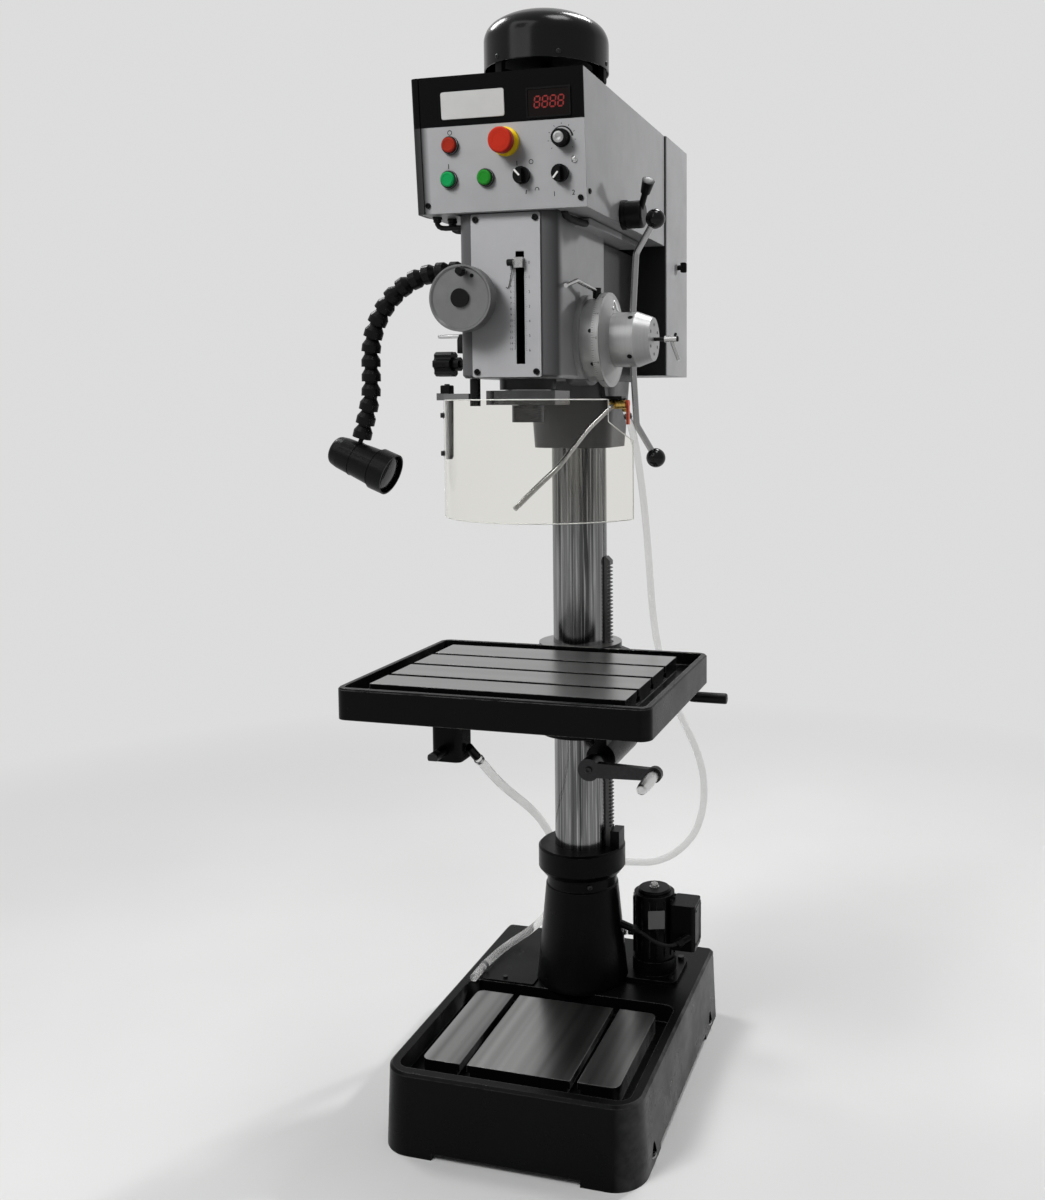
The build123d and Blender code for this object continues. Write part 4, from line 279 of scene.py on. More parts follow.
def parted(name, nodes, mask, first, second):
    """Two materials in one part; each is colour, metallic and roughness, and mask picks the second."""
    s = Shader(name, nodes)
    share = mask(s)
    cloud = s.span(s.noise(24, 4, 0.6))
    tones = [s.vary(cloud, side[0], 0.92, 1.08) for side in (first, second)]
    dull = s.maths("ADD", s.span(share, first[2], second[2], 0, 1), s.span(s.noise(70, 4), -0.04, 0.05))
    metallic = s.span(share, first[1], second[1], 0, 1)
    s.set(base_color=s.blend(share, *tones), metallic=metallic, roughness=dull, specular_ior_level=0.2,
          normal=s.bump(s.noise(900, 2), 0.006))


def plastic(name, nodes, colour, rough, level, grain=0.02):
    """Moulded plastic with a fine texture and a little handling shine."""
    s = Shader(name, nodes)
    tone = s.vary(s.span(s.noise(30, 4, 0.6)), colour, 0.94, 1.06)
    s.set(base_color=tone, roughness=s.span(s.noise(60, 4, 0.6), *rough),
          normal=s.bump(s.noise(1500, 2), grain), specular_ior_level=level)


def clear(name, nodes, tones, size, haze, rough, through, ior):
    """Clear plastic, a little uneven: size and haze are the noises of its tone and its roughness."""
    s = Shader(name, nodes)
    s.set(base_color=s.blend(s.span(s.noise(size)), *tones), roughness=s.span(s.noise(*haze), *rough),
          transmission_weight=through, ior=ior)


def cast_and_ground(name, nodes, steel, pad_z, scale, streak, wear, sheen_tone, hub=None):
    """Enamelled casting, ground bare level with pad_z; hub is a round top that is also bare."""
    s = Shader(name, nodes)
    ground = s.level_with(pad_z)
    if hub:
        centre, radius, top_z = hub
        near = s.less(s.reach(centre, Z), radius)
        ground = s.maths("MAXIMUM", ground, s.times(s.level_with(top_z), near))
    enamel = s.vary(s.span(s.noise(5)), near_black, 0.85, 1.15)
    rub = s.times(s.edges(0.0022), s.span(s.noise(38, 4), low=0.3, high=0.52))
    enamel = s.blend(s.times(rub, wear), enamel, worn_iron)
    # A paler cloudy film on faces toward +X is painted reflection.
    side_sheen = s.times(s.span(s.noise(9, 4, 0.6), low=0.35), s.span(s.normal(X), low=0.2, high=0.95))
    enamel = s.blend(side_sheen, enamel, (sheen_tone, sheen_tone, sheen_tone, 1))
    lines = s.noise(1, 2, 0.5, s.stretch(scale))
    broad = s.noise(0.05, 2, 0.5, s.stretch(scale))
    iron = s.vary(s.span(lines), steel, 0.97, 1.03)
    # The broad darker bands on the bare iron are grinding tone and painted reflection streaks.
    iron = s.blend(s.span(broad, low=0.36, high=0.64), iron, shade(steel, streak))
    dull = s.span(s.noise(14, 4, 0.55), 0.24, 0.34)
    shine = s.span(lines, 0.27, 0.32, 0.2, 0.8)
    s.set(base_color=s.blend(ground, enamel, iron), roughness=s.span(ground, dull, shine, 0, 1),
          metallic=s.maths("MAXIMUM", ground, s.times(rub, 0.9 * wear)))
    cast = s.times(s.noise(240), s.maths("SUBTRACT", 1, ground))
    relief = s.maths("ADD", cast, s.times(lines, s.times(ground, 0.02)))
    s.set(normal=s.bump(relief, 0.06), specular_ior_level=black_level)


def panel_face(name, nodes, grey, edge_x):
    """Satin panel with a black band above band_z, and painted shade on its rounded left edge."""
    s = Shader(name, nodes)
    tone = s.vary(s.span(s.noise(8, 4, 0.6)), grey, 0.94, 1.05)
    # The left edge darkens as painted shade.
    tone = s.blend(s.span(s.axes()[X], low=edge_x[0], high=edge_x[1]), painted_edge_shade, tone)
    tone = s.blend(s.more(s.axes()[Z], band_z), tone, (*print_black, 1))
    s.set(base_color=tone, roughness=s.span(s.noise(31, 5, 0.65), 0.34, 0.46), specular_ior_level=0.05,
          normal=s.bump(s.noise(900, 2), 0.012))


# Masks for parts of one node: one where the other finish is, or where painted shade goes
def gland_part(s, radius=0.056):
    return s.times(s.less(s.axes()[Z], head_underside_z), s.less(s.reach(spindle_axis, Z), radius))


# The head's front corner roundings, darkened as painted shade.
def head_corners(s, front_y=-0.27, rear_y=-0.262):
    return s.span(s.axes()[Y], 1, 0, front_y, rear_y)


# The head's rear sides, darkened towards the rear as painted shade.
def head_rear(s, front_y=0.01, rear_y=0.022):
    sides = s.more(s.maths("ABSOLUTE", s.normal(X)), 0.5)
    return s.times(sides, s.span(s.axes()[Y], low=front_y, high=rear_y))


# Walls of the depth scale's slot, painted near black as shade in the recess.
def scale_slot(s, middle_x=0.027, half=0.0086, front_y=-0.2):
    x, y, z = s.axes()
    walls = s.less(s.maths("ABSOLUTE", s.normal(Y)), 0.5)
    return s.times(s.times(s.maths("COMPARE", x, middle_x, half), walls), s.less(y, front_y))


def cabinet_front(s, front_y=0.2372):
    return s.times(s.less(s.axes()[Y], front_y), s.less(s.normal(Y), -0.8))


def below(axis, value):
    return lambda s: s.less(s.axes()[axis], value)


def guard_bar(s, top_z=1.4153, boss=0.0125):
    return s.times(s.less(s.axes()[Z], top_z), s.more(s.reach(guard_pivot, Z), boss))


def valve_bracket(s, low_z=1.4028, right_x=0.0865):
    return s.maths("MAXIMUM", s.more(s.axes()[Z], low_z), s.less(s.axes()[X], right_x))


def lock_post(s, radius=0.0102):
    return s.less(s.reach(lock_post_axis, Z), radius)


# Finishes: name, nodes of the frame that wear it, colour, range of roughness, and what its kind asks for
silver = ((0.5, 0.5, 0.495), 1, 0.24)
blacked = (plastic_black, 0, 0.3)
grey_metal = ((0.15, 0.15, 0.152), 0.2, 0.4)
brass = ((0.56, 0.38, 0.11), 1, 0.26)
paint("black_paint", "reservoir_cover column_foot rack_ring pump_housing pump_motor",
      near_black, (0.26, 0.38), black_level, 0.3)
paint("motor_black", "motor_body", near_black, (0.4, 0.52), 0.05)
paint("black_gloss", "motor_cowl", near_black, (0.16, 0.22), 0.22, 0.1, peel=0.01)
paint("grey_paint", "control_box", light_grey, (0.36, 0.5), 0.35, 0.12, worn_grey)
# On the head: painted shade on the front corner roundings, the rear sides, the boss below the underside and
# the slot walls; the gland is black.
paint("head_paint", "head_casting", light_grey, (0.32, 0.46), 0.35, 0.1, worn_grey, darks=[
    (head_corners, painted_shade_grey), (head_rear, painted_rear_shade), (below(Z, head_underside_z), painted_shade_grey),
    (gland_part, near_black), (scale_slot, near_black)])
paint("cabinet_paint", "rear_cabinet", light_grey, (0.36, 0.5), 0.35, 0.12, worn_grey,
      darks=[(cabinet_front, near_black)])
# The slot walls in the plate are painted shade.
paint("plate_paint", "front_plate", plate_grey, (0.34, 0.46), 0.35, 0.1, worn_plate, 0.02,
      darks=[(scale_slot, near_black)])
cast_and_ground("cast_table", "table_casting", (0.34, 0.34, 0.337), table_top_z, (3, 420, 20), 0.88, 0.75,
                0.02, (column_axis, table_hub_radius, table_rim_z))
cast_and_ground("cast_base", "base_casting", (0.38, 0.38, 0.376), base_pad_z, (420, 3, 20), 0.4, 0.3, 0.15)
panel_face("control_panel_print_and_shade", "control_panel", light_grey, (-0.146, -0.132))
# The corner piece is dark grey, painted shade of the box's rounded left corner, with the printed band above.
panel_face("panel_corner_shade_and_print", "", (0.04, 0.04, 0.041), (-0.163, -0.148))
s = Shader("column_steel", "column")  # polished, with dark and bright streaks along it painted in as reflections
x, y, z = s.axes(s.stretch((1, 1, 1), column_axis))
wrap = s.make("CombineXYZ", s.maths("ARCTAN2", y, x), s.times(z, 0.22))
broad = s.noise(2.6, 2, 0.5, wrap)
thin = s.noise(15, 3, 0.55, wrap)
fine = s.noise(70, 2, 0.5, wrap)
tone = s.blend(s.span(broad, low=0.42, high=0.58), column_reflection_dark, shade(column_reflection_bright, 0.55))
tone = s.blend(s.span(thin, low=0.52, high=0.66), tone, column_reflection_bright)
tone = s.blend(s.span(fine, 0, 0.35, 0.45, 0.75), tone, column_reflection_dark)
s.set(base_color=tone, metallic=1, roughness=s.span(thin, 0.14, 0.22), normal=s.bump(fine, 0.002))
turned("quill_steel", "quill", (0.36, 0.36, 0.365), (0.16, 0.26), spindle_axis, Z,
       dark=(below(Z, 1.4202), (0.1, 0.1, 0.103)))
turned("spindle_steel", "spindle", (0.42, 0.42, 0.42), (0.18, 0.28), spindle_axis, Z,
       dark=(below(Z, 1.394), (0.075, 0.075, 0.078)))
turned("feed_alloy", "feed_housing feed_hub feed_shaft", (0.36, 0.36, 0.36), (0.3, 0.38), feed_axis, X,
       metallic=0.4)
turned("dial_alloy", "depth_dial", (0.4, 0.4, 0.397), (0.32, 0.4), feed_axis, X, metallic=0.4)
brushed("wheel_alloy", "fine_feed_wheel", (0.19, 0.19, 0.192), (0.38, 0.5), (60, 60, 60), 0.08, 0.008, 0.6)
brushed("bright_steel", "spindle_bearings pump_outlet", (0.46, 0.46, 0.455), (0.2, 0.32), (300, 300, 20))
brushed("grip_steel", "crank_handle", (0.72, 0.72, 0.715), (0.28, 0.38), (300, 20, 300))
brushed("rack_steel", "rack", (0.085, 0.085, 0.084), (0.3, 0.44), (300, 300, 30))
brushed("gear_steel", "spindle_gear gear_cluster", (0.36, 0.355, 0.345), (0.22, 0.34), (200, 200, 200))
brushed("dark_steel", "frame_bolts elevation_shaft drain_cock table_clamp_lever",
        (0.04, 0.04, 0.042), (0.32, 0.46), (160, 160, 160), 0.15)
brushed("bright_chrome", "", (0.58, 0.58, 0.58), (0.06, 0.12), (40, 40, 40), 0.04, 0.001)
brushed("lever_steel", "feed_levers", (0.36, 0.36, 0.36), (0.14, 0.22), (40, 40, 40), 0.06, 0.001)
brushed("nozzle_steel", "nozzle_pipe", (0.38, 0.38, 0.377), (0.2, 0.3), (60, 60, 60), 0.1, 0.002)
parted("brass_fitting", "coolant_valve", valve_bracket, brass, blacked)
parted("pointer_metal", "depth_pointer", below(X, 0.0188), silver, blacked)
parted("dial_clamp_metal", "dial_clamp", below(X, 0.2462), silver, blacked)
parted("feed_lock_metal", "feed_lock_lever", lock_post, silver, blacked)
parted("guard_arm_metal", "guard_arm", guard_bar, blacked, grey_metal)
plastic("black_plastic", "lamp_arm lamp_head gear_lever speed_knob selector_left selector_right "
        "quill_lock_knob cabinet_knob", plastic_black, (0.26, 0.36), 0.13)
plastic("black_phenolic", "feed_knobs fine_feed_knob", print_black, (0.08, 0.14), 0.24, 0.002)
plastic("fan_black", "motor_rotor", print_black, (0.6, 0.7), 0.03)
plastic("black_rubber", "", (0.01, 0.01, 0.01), (0.5, 0.66), 0.2, 0.03)
plastic("grey_plastic", "", (0.1, 0.1, 0.102), (0.34, 0.46), 0.3)
plastic("red_plastic", "stop_button", (0.3, 0.022, 0.01), (0.3, 0.4), 0.15, 0.01)
plastic("estop_red", "estop_button", (0.44, 0.026, 0.012), (0.34, 0.44), 0.12, 0.01)
plastic("green_plastic", "start_button", (0.006, 0.28, 0.075), (0.26, 0.36), 0.15, 0.01)
plastic("reverse_green", "reverse_button", (0.016, 0.22, 0.02), (0.26, 0.36), 0.15, 0.01)
plastic("yellow_plastic", "estop_collar", (0.9, 0.6, 0.01), (0.34, 0.44), 0.15, 0.01)
plastic("orange_plastic", "valve_lever", (0.62, 0.085, 0.03), (0.34, 0.46), 0.4)
clear("clear_sheet", "guard_shield", ((0.955, 0.945, 0.895, 1), (0.975, 0.968, 0.925, 1)), 4, (9, 5, 0.6),
      (0.01, 0.05, 0.35, 0.75), 1, 1.12)
# The pale edge of the sheet is a painted highlight.
plastic("sheet_edge_highlight", "", (0.82, 0.82, 0.79), (0.2, 0.3), 0.5, 0.004)
clear("clear_hose", "", ((0.94, 0.94, 0.93, 1), (0.98, 0.98, 0.972, 1)), 9, (40,), (0.16, 0.24), 0.78, 1.07)
plastic("lamp_lens", "", (0.022, 0.022, 0.022), (0.1, 0.16), 0.3, 0.004)
paint("plate_white", "", (0.5, 0.5, 0.49), (0.3, 0.4), 0.35, peel=0.01)
paint("label_grey", "", (0.2, 0.2, 0.197), (0.36, 0.46), 0.35, peel=0.01)
plastic("dark_window", "", (0.006, 0.003, 0.003), (0.05, 0.1), 0.15, 0.002)
s = Shader("led_red")  # lit, a little uneven
s.set(base_color=s.vary(s.span(s.noise(240)), lit_red, 0.8, 1.1), roughness=0.4, emission_color=(*lit_red, 1),
      emission_strength=0.32)
plastic("black_ink", "", (0.01, 0.01, 0.01), (0.45, 0.55), 0.2, 0.004)
plastic("white_ink", "", (0.72, 0.72, 0.7), (0.4, 0.5), 0.3, 0.004)
turned("spun_cap", "", (0.44, 0.44, 0.44), (0.24, 0.34), speed_knob_axis, Y, 1400)

# Floor, backdrop and light
floor_half, backdrop_y, backdrop_top, sweep, sweep_steps = 9, 5, 9, 1.6, 12
floor_tones, floor_unseen = ((0.6, 0.6, 0.597, 1), (0.63, 0.63, 0.627, 1)), (0.3, 0.3, 0.3, 1)
wall_tone, wall_start, wall_end = (0.72, 0.72, 0.72, 1), 0.9, 3.2
ambient_tone, ambient_strength, backdrop_tone = (0.97, 0.98, 1, 1), 0.16, (0.5, 0.5, 0.5, 1)

scene.world = bpy.data.worlds.new("studio")
scene.world.use_nodes = True
n = Nodes(scene.world.node_tree)
ambient = n.make("Background", ambient_tone, ambient_strength)
n.end("World Output", n.rays_that_show(), ambient, n.make("Background", backdrop_tone, 1))

# The floor sweeps up into the backdrop, and away from the part shows one even tone
sweep_y = backdrop_y - sweep
profile = [(-floor_half, 0), (sweep_y, 0)]
for k in range(1, sweep_steps + 1):
    angle = pi / 2 * k / sweep_steps
    profile.append((sweep_y + sweep * sin(angle), sweep - sweep * cos(angle)))
profile.append((backdrop_y, backdrop_top))
count = len(profile)
floor = bpy.data.meshes.new("studio_floor")
floor.from_pydata([(x, y, z) for x in (-floor_half, floor_half) for y, z in profile], [],
                  [(k, count + k, count + k + 1, k + 1) for k in range(count - 1)])
floor.shade_smooth()
s = Shader("studio_floor")
seen = s.rays_that_show()
tone = s.blend(s.span(s.noise(1.5, 2)), *floor_tones)
s.set(base_color=s.blend(seen, floor_unseen, tone), roughness=0.9, specular_ior_level=0.1)
away = s.span(s.reach((0, 0, 0), Z), low=wall_start, high=wall_end)
s.end("Material Output", s.times(seen, away), s.surface.outputs[0], s.make("Emission", wall_tone))
floor.materials.append(finish["studio_floor"])
show("studio_floor", floor)

for name, place, aim, size, watts, mirrored in (
        ("key", (-1.4, -2.6, 3.6), (0, -0.15, 1.5), (1.1, 1.1), 98, False),
        ("softbox", (-1.4, -2.6, 3.6), (0, -0.15, 1.5), (2.4, 2.4), 34, True),
        ("side", (1.9, 2.6, 2.5), (0.1, 0, 1.5), (0.25, 0.25), 78, False),
        ("left", (-2.1, 0.7, 3.85), (0, 0, 1.8), (0.8, 1), 44, True),
        ("overhead", (0.75, -0.45, 4.3), (0.15, -0.15, 1.5), (1, 0.8), 27, True),
        ("top_rear", (0.45, 1.75, 4.5), (0, 0, 1.8), (0.9, 0.9), 55, True)):
    data = bpy.data.lights.new(name, "AREA")
    data.shape = "RECTANGLE"
    data.size, data.size_y = size
    data.energy = watts
    light = show(name, data)
    light.visible_camera = False
    light.visible_glossy = mirrored
    light.matrix_world = aimed(place, Vector(aim) - Vector(place))


# Frames that place the shapes, which are in millimetres
def at(x, y, z, out=(0, -1, 0), up=(0, 0, 1)):
    """Frame at a point of the model, Z along out and Y near up, one unit a millimetre."""
    w = Vector(out).normalized()
    u = Vector(up).cross(w).normalized()
    turn = Matrix((u, w.cross(u), w)).transposed().to_4x4()
    return Matrix.Translation(Vector((x, y, z)) * MM) @ turn @ to_metres


def shift(x=0, y=0, z=0):
    return Matrix.Translation((x, y, z))


def spin(degrees, axis="Z"):
    return Matrix.Rotation(radians(degrees), 4, axis)


def sunk(place, depth=0.2):
    return place @ shift(z=-depth)


def level(x, y, z, way=1):
    """Frame that faces up, or down if way is -1."""
    return at(x, y, z, (0, 0, way), (0, 1, 0))


def upright(centre, r, angle, z):
    """Frame on an upright cylinder, at an angle from X."""
    out = (cos(angle), sin(angle), 0)
    return at(centre[0] + r * out[0], centre[1] + r * out[1], z, out)


def sideways(x, centre, r, angle, way=1):
    """Frame on a face across X, r from a centre (Y and Z) at an angle from Y."""
    return at(x, centre[0] + r * cos(angle), centre[1] + r * sin(angle), (way, 0, 0))


def along(a, b, share, back):
    """Frame on the line from one point of the model to another, Z along it, set back by so much."""
    a, b = Vector(a), Vector(b)
    way = (b - a).normalized()
    return sunk(at(*(a + (b - a) * share), way, (0, 1, 0) if abs(way.y) < 0.9 else (1, 0, 0)), back)


def around(count, start=0):
    """Even angles of a full turn, from start in degrees."""
    return [radians(start + 360 * k / count) for k in range(count)]


def spread(start, end, steps):
    return [start + (end - start) * k / steps for k in range(steps + 1)]


def corners(x, y):
    return [(-x, -y), (-x, y), (x, -y), (x, y)]


# Rings of points; those for screws have head_sides points
head_sides = 24


def circle(r, z=0, sides=head_sides):
    return [(r * cos(a), r * sin(a), z) for a in around(sides)]


def hexagon(r, z):
    """Hexagon of corner radius r, with points along its edges."""
    ends = circle(r, z, 6) + circle(r, z, 6)[:1]
    per = head_sides // 6
    return [tuple(a + (b - a) * k / per for a, b in zip(ends[edge], ends[edge + 1]))
            for edge in range(6) for k in range(per)]


def cross(arm, half, z):
    ring = []
    for angle in around(head_sides):
        side = angle % (pi / 2)
        side = min(side, pi / 2 - side)
        reach = arm / cos(side) if arm * tan(side) <= half else half / sin(side)
        ring.append((reach * cos(angle), reach * sin(angle), z))
    return ring


def rounded(w, h, r, z=0, steps=5):
    """Rectangle with round corners."""
    ring = []
    for sx, sy, start in ((1, 1, 0), (-1, 1, 90), (-1, -1, 180), (1, -1, 270)):
        for degrees in spread(start, start + 90, steps):
            a = radians(degrees)
            ring.append((sx * (w / 2 - r) + r * cos(a), sy * (h / 2 - r) + r * sin(a), z))
    return ring


# Shapes: each is a function that draws into the mesh of its piece
ink_rise, figure_lift, sharp_angle = 0.12, 0.02, radians(38)


def loft(place, rings, closed=False, caps=(True, True)):
    """Skin through rings of equal count, capped at the ends, or joined end to start if closed."""
    def draw(bm):
        made = [[bm.verts.new(place @ Vector(point)) for point in ring] for ring in rings]
        for low, high in list(zip(made, made[1:])) + ([(made[-1], made[0])] if closed else []):
            for k in range(len(low)):
                after = (k + 1) % len(low)
                bm.faces.new((low[k], low[after], high[after], high[k]))
        if caps[0] and not closed:
            bm.faces.new(made[0][::-1])
        if caps[1] and not closed:
            bm.faces.new(made[-1])
    return draw


def lathe(place, profile, sides=32, closed=False):
    """Round shape from pairs of radius and height."""
    return loft(place, [circle(r, z, sides) for r, z in profile], closed)


def slab(place, outline, t):
    return loft(place, [[(x, y, z) for x, y in outline] for z in (0, t)])


def bar(place, w, h, t=ink_rise):
    return slab(place, [(-w / 2, -h / 2), (w / 2, -h / 2), (w / 2, h / 2), (-w / 2, h / 2)], t)


def soft_edged(w, h, t, r, edge):
    return [rounded(w, h, r), rounded(w, h, r, t - edge), rounded(w - 2 * edge, h - 2 * edge, r - edge, t)]


def plate(place, w, h, t, r, edge=0.4):
    return loft(place, soft_edged(w, h, t, r, edge))


def frame_ring(place, w, h, wall, t, r, edge=0.4):
    """Rectangular frame with an opening, such as a bezel."""
    inner = (w - 2 * wall, h - 2 * wall, max(r - wall, 0.4))
    return loft(place, soft_edged(w, h, t, r, edge) + [rounded(*inner, t), rounded(*inner)], True)


def flat_ring(place, inner, outer, t=ink_rise, sides=40):
    return lathe(place, [(inner, 0), (outer, 0), (outer, t), (inner, t)], sides, True)


def band(place, inner, outer, length, edge=0.3):
    """Soft-edged ring, such as a hose clamp."""
    return lathe(place, [
        (inner, 0), (outer - edge, 0), (outer, edge), (outer, length - edge), (outer - edge, length),
        (inner, length)], 40, True)


def cap_screw(place, r, h):
    """Round head with a hexagon socket."""
    return loft(place, [
        circle(r), circle(r, 0.8 * h), circle(0.93 * r, 0.95 * h), circle(0.84 * r, h), hexagon(0.55 * r, h),
        hexagon(0.52 * r, 0.35 * h)])


def cross_screw(place, r, h):
    """Domed head with a cross recess."""
    return loft(place, [
        circle(r), circle(r, 0.25 * h), circle(0.92 * r, 0.62 * h), circle(0.74 * r, 0.9 * h),
        circle(0.6 * r, h), cross(0.48 * r, 0.13 * r, h), cross(0.34 * r, 0.11 * r, 0.35 * h)])


def hex_bolt(place, r, h):
    """Hexagon head on a washer face."""
    return loft(place, [
        circle(1.25 * r), circle(1.25 * r, 0.18 * h), circle(0.86 * r, 0.2 * h), hexagon(r, 0.22 * h),
        hexagon(r, 0.86 * h), circle(0.84 * r, h)])


def gland_nut(place, inner, r, h):
    return loft(place, [
        circle(inner), hexagon(r, 0), hexagon(r, 0.5 * h), circle(0.84 * r, 0.56 * h),
        circle(0.8 * r, 0.8 * h), circle(0.6 * r, h), circle(inner, h)], True)


def tube(points, r, sides=16, caps=(True, True)):
    path = [Vector(p) for p in points]
    rings = []
    side = None
    for k, point in enumerate(path):
        way = (path[min(k + 1, len(path) - 1)] - path[max(k - 1, 0)]).normalized()
        start = side or way.orthogonal()
        side = (start - way * start.dot(way)).normalized()
        other = way.cross(side)
        rings.append([tuple(point + r * (cos(a) * side + sin(a) * other)) for a in around(sides)])
    return loft(to_metres, rings, caps=caps)


def mesh_of(data):
    """Mesh of a curve, which is then removed."""
    holder = bpy.data.objects.new(data.name, data)
    mesh = bpy.data.meshes.new_from_object(holder)
    bpy.data.objects.remove(holder)
    bpy.data.curves.remove(data)
    return mesh


def letters(place, text, size, rise=ink_rise):
    def draw(bm):
        data = bpy.data.curves.new("figures", "FONT")
        data.body = text
        data.size = size
        data.extrude = rise
        data.align_x = data.align_y = "CENTER"
        mesh = mesh_of(data)
        mesh.transform(place @ shift(z=figure_lift))
        bm.from_mesh(mesh)
        bpy.data.meshes.remove(mesh)
    return draw


def piece(name, look, slot, *shapes, body="frame"):
    """Object made of shapes; it rides a body, or none."""
    bm = bmesh.new()
    for draw in shapes:
        draw(bm)
    mesh = bpy.data.meshes.new(name)
    bmesh.ops.recalc_face_normals(bm, faces=bm.faces)
    bm.to_mesh(mesh)
    bm.free()
    mesh.shade_smooth()
    mesh.set_sharp_from_angle(angle=sharp_angle)
    mesh.materials.append(finish[look])
    made = show(name, mesh)
    if body:
        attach(made, body)
    return made


def screws(name, look, body, head, r, h, places):
    piece(name, look, "dark_steel", *[head(place, r, h) for place in places], body=body)


# Hoses, cable and nozzle: routes in millimetres, as chosen for the model
supply_route = [
    (72, 228, 212), (40, 228, 212), (6, 228, 231), (-12, 228, 267), (-12, 228, 314), (9, 228, 352),
    (46, 228, 371), (90, 228, 374), (134, 227, 379), (182, 223, 404), (226, 220, 452), (247, 218, 515),
    (248, 217.5, 580), (236, 217, 632), (216, 217, 678), (191, 217.5, 724), (169, 218, 776), (152, 218, 834),
    (138.5, 217.5, 894), (131, 215, 968), (127.5, 209, 1045), (125.5, 196, 1120), (124.5, 175, 1190),
    (124, 148, 1252), (123.5, 121, 1306), (121.5, 97, 1342), (119, 81, 1366), (116, 71, 1383)]
drain_route = [
    (-108, -194, 722), (-100, -166, 692), (-101, -118, 656), (-104, -56, 616), (-104, 14, 572),
    (-102, 84, 526), (-98, 144, 476), (-94, 192, 422), (-92, 226, 364), (-98, 245, 304), (-114, 250, 250),
    (-140, 247, 207), (-170, 233, 181), (-192, 200, 172), (-204, 150, 171), (-211, 95, 170.5),
    (-215, 50, 167.5), (-216, 21, 165.4)]
cable_route = [
    (116, 117.5, 271), (136, 116.5, 265), (158, 113, 252), (181, 113, 244), (202, 120, 243), (216, 134, 248)]
nozzle_route = [
    (97, 36, 1391), (88, -12, 1370), (79, -66, 1347), (78, -122, 1325), (79, -178, 1306),
    (74, -229, 1280), (50, -268, 1250), (20.5, -307.5, 1211)]
drain_radius, drain_split_z, sheath_radius = 8.5, 474, 5
upper_blend_z, lower_blend_z = (690, 490), (465, 225)


def route_curve(name, route):
    """Smooth line along the route's points, with no thickness yet."""
    data = bpy.data.curves.new(name, "CURVE")
    data.dimensions = "3D"
    data.resolution_u = 10
    spline = data.splines.new("NURBS")
    spline.points.add(len(route) - 1)
    for point, place in zip(spline.points, route):
        point.co = (*(part * MM for part in place), 1)
    spline.order_u = 3
    spline.use_endpoint_u = True
    return data


def route_line(route):
    """Points along the route's smooth line, in millimetres."""
    mesh = mesh_of(route_curve("line", route))
    line = [vertex.co / MM for vertex in mesh.vertices]
    bpy.data.meshes.remove(mesh)
    return line


for node, route, radius, length, look, slot, stiffness in (
        ("supply_hose", supply_route, 7.5, 1.43, "clear_hose", "clear_hose", "medium"),
        ("pump_cable", cable_route, 4, 0.113, "black_rubber", "black_cable", "stiff")):
    data = route_curve(node + "_line", route)
    data.bevel_depth = radius * MM
    data.bevel_resolution = 5
    data.use_fill_caps = True
    data.materials.append(finish[look])
    cord = show(data.name, data)
    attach(cord, "frame")
    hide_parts(node)

# Control panel: a place on it is X and Z
panel_low_y, panel_low_z, panel_lean = -300.5, 1731, 19 / 230
stop_place, start_place, reverse_place = (-91, 1845.5), (-96, 1788), (-27, 1788)
left_place, right_place, speed_place = (40.5, 1788), (110.5, 1788), (114.5, 1845.5)
button_top, knob_top, estop_top = 10.5, 19.5, 32.5
digit_w, digit_h, digit_stroke, digit_pitch, digit_slant = 9.4, 18, 2.6, 14.2, 0.12
segment_rise, segment_lift = 0.2, 0.75
speed_tick_r, speed_tick_start, speed_tick_step = 24.4, 130, 32.5
knob_rib_r, knob_rib_low, knob_ribs = 13.4, 4.6, 30
# Section of a dark piece over the box's left front corner, standing in as painted shade.
corner_shade_section = [
    (-146.5, 0.3), (-146.5, -0.8), (-152.5, -0.6), (-157.5, 1), (-161, 4.8), (-162.5, 10), (-162.5, 42),
    (-160, 52), (-155.2, 58), (-154, 58), (-154, 14), (-150, 5)]
bezel_profile = [(13.35, 0.2), (15.9, 0.2), (15.9, 3.6), (15.2, 4.9), (14.2, 5.4), (13.35, 5.4)]
rim_profile = [(8.4, 0), (10.4, 0), (10.4, 0.4), (9.9, 0.7), (9, 0.7), (8.4, 0.3)]


def panel_y(z):
    return panel_low_y - panel_lean * (z - panel_low_z)


def panel(x, z, lift=0):
    """Frame on the leaning panel, lift millimetres proud of it."""
    return at(x, panel_y(z), z, (0, -1, -panel_lean)) @ shift(z=lift)


def beside(place, x, z):
    return panel(place[0] + x, place[1] + z)


def seven_segment(place, w, h, s):
    """An eight of seven pointed bars."""
    bars = []
    for x, y, standing in (
            (0, h / 2, 0), (w / 2, h / 4, 1), (w / 2, -h / 4, 1), (0, -h / 2, 0), (-w / 2, -h / 4, 1),
            (-w / 2, h / 4, 1), (0, 0, 0)):
        half = ((h / 2 if standing else w) - 0.5 * s) / 2
        flank = half - s / 2
        outline = [(-half, 0), (-flank, -s / 2), (flank, -s / 2), (half, 0), (flank, s / 2), (-flank, s / 2)]
        bars.append(slab(place @ shift(x, y) @ spin(90 * standing), outline, segment_rise))
    return bars


def arc_wedge(place, r, start, end, thick_start, thick_end, steps=20):
    """Printed arc that widens from start to end, in degrees from straight up, clockwise."""
    outer, inner = [], []
    for degrees, thick in zip(spread(start, end, steps), spread(thick_start, thick_end, steps)):
        a = radians(degrees)
        outer.append(((r + thick / 2) * sin(a), (r + thick / 2) * cos(a)))
        inner.append(((r - thick / 2) * sin(a), (r - thick / 2) * cos(a)))
    return slab(place, inner + outer[::-1], ink_rise)
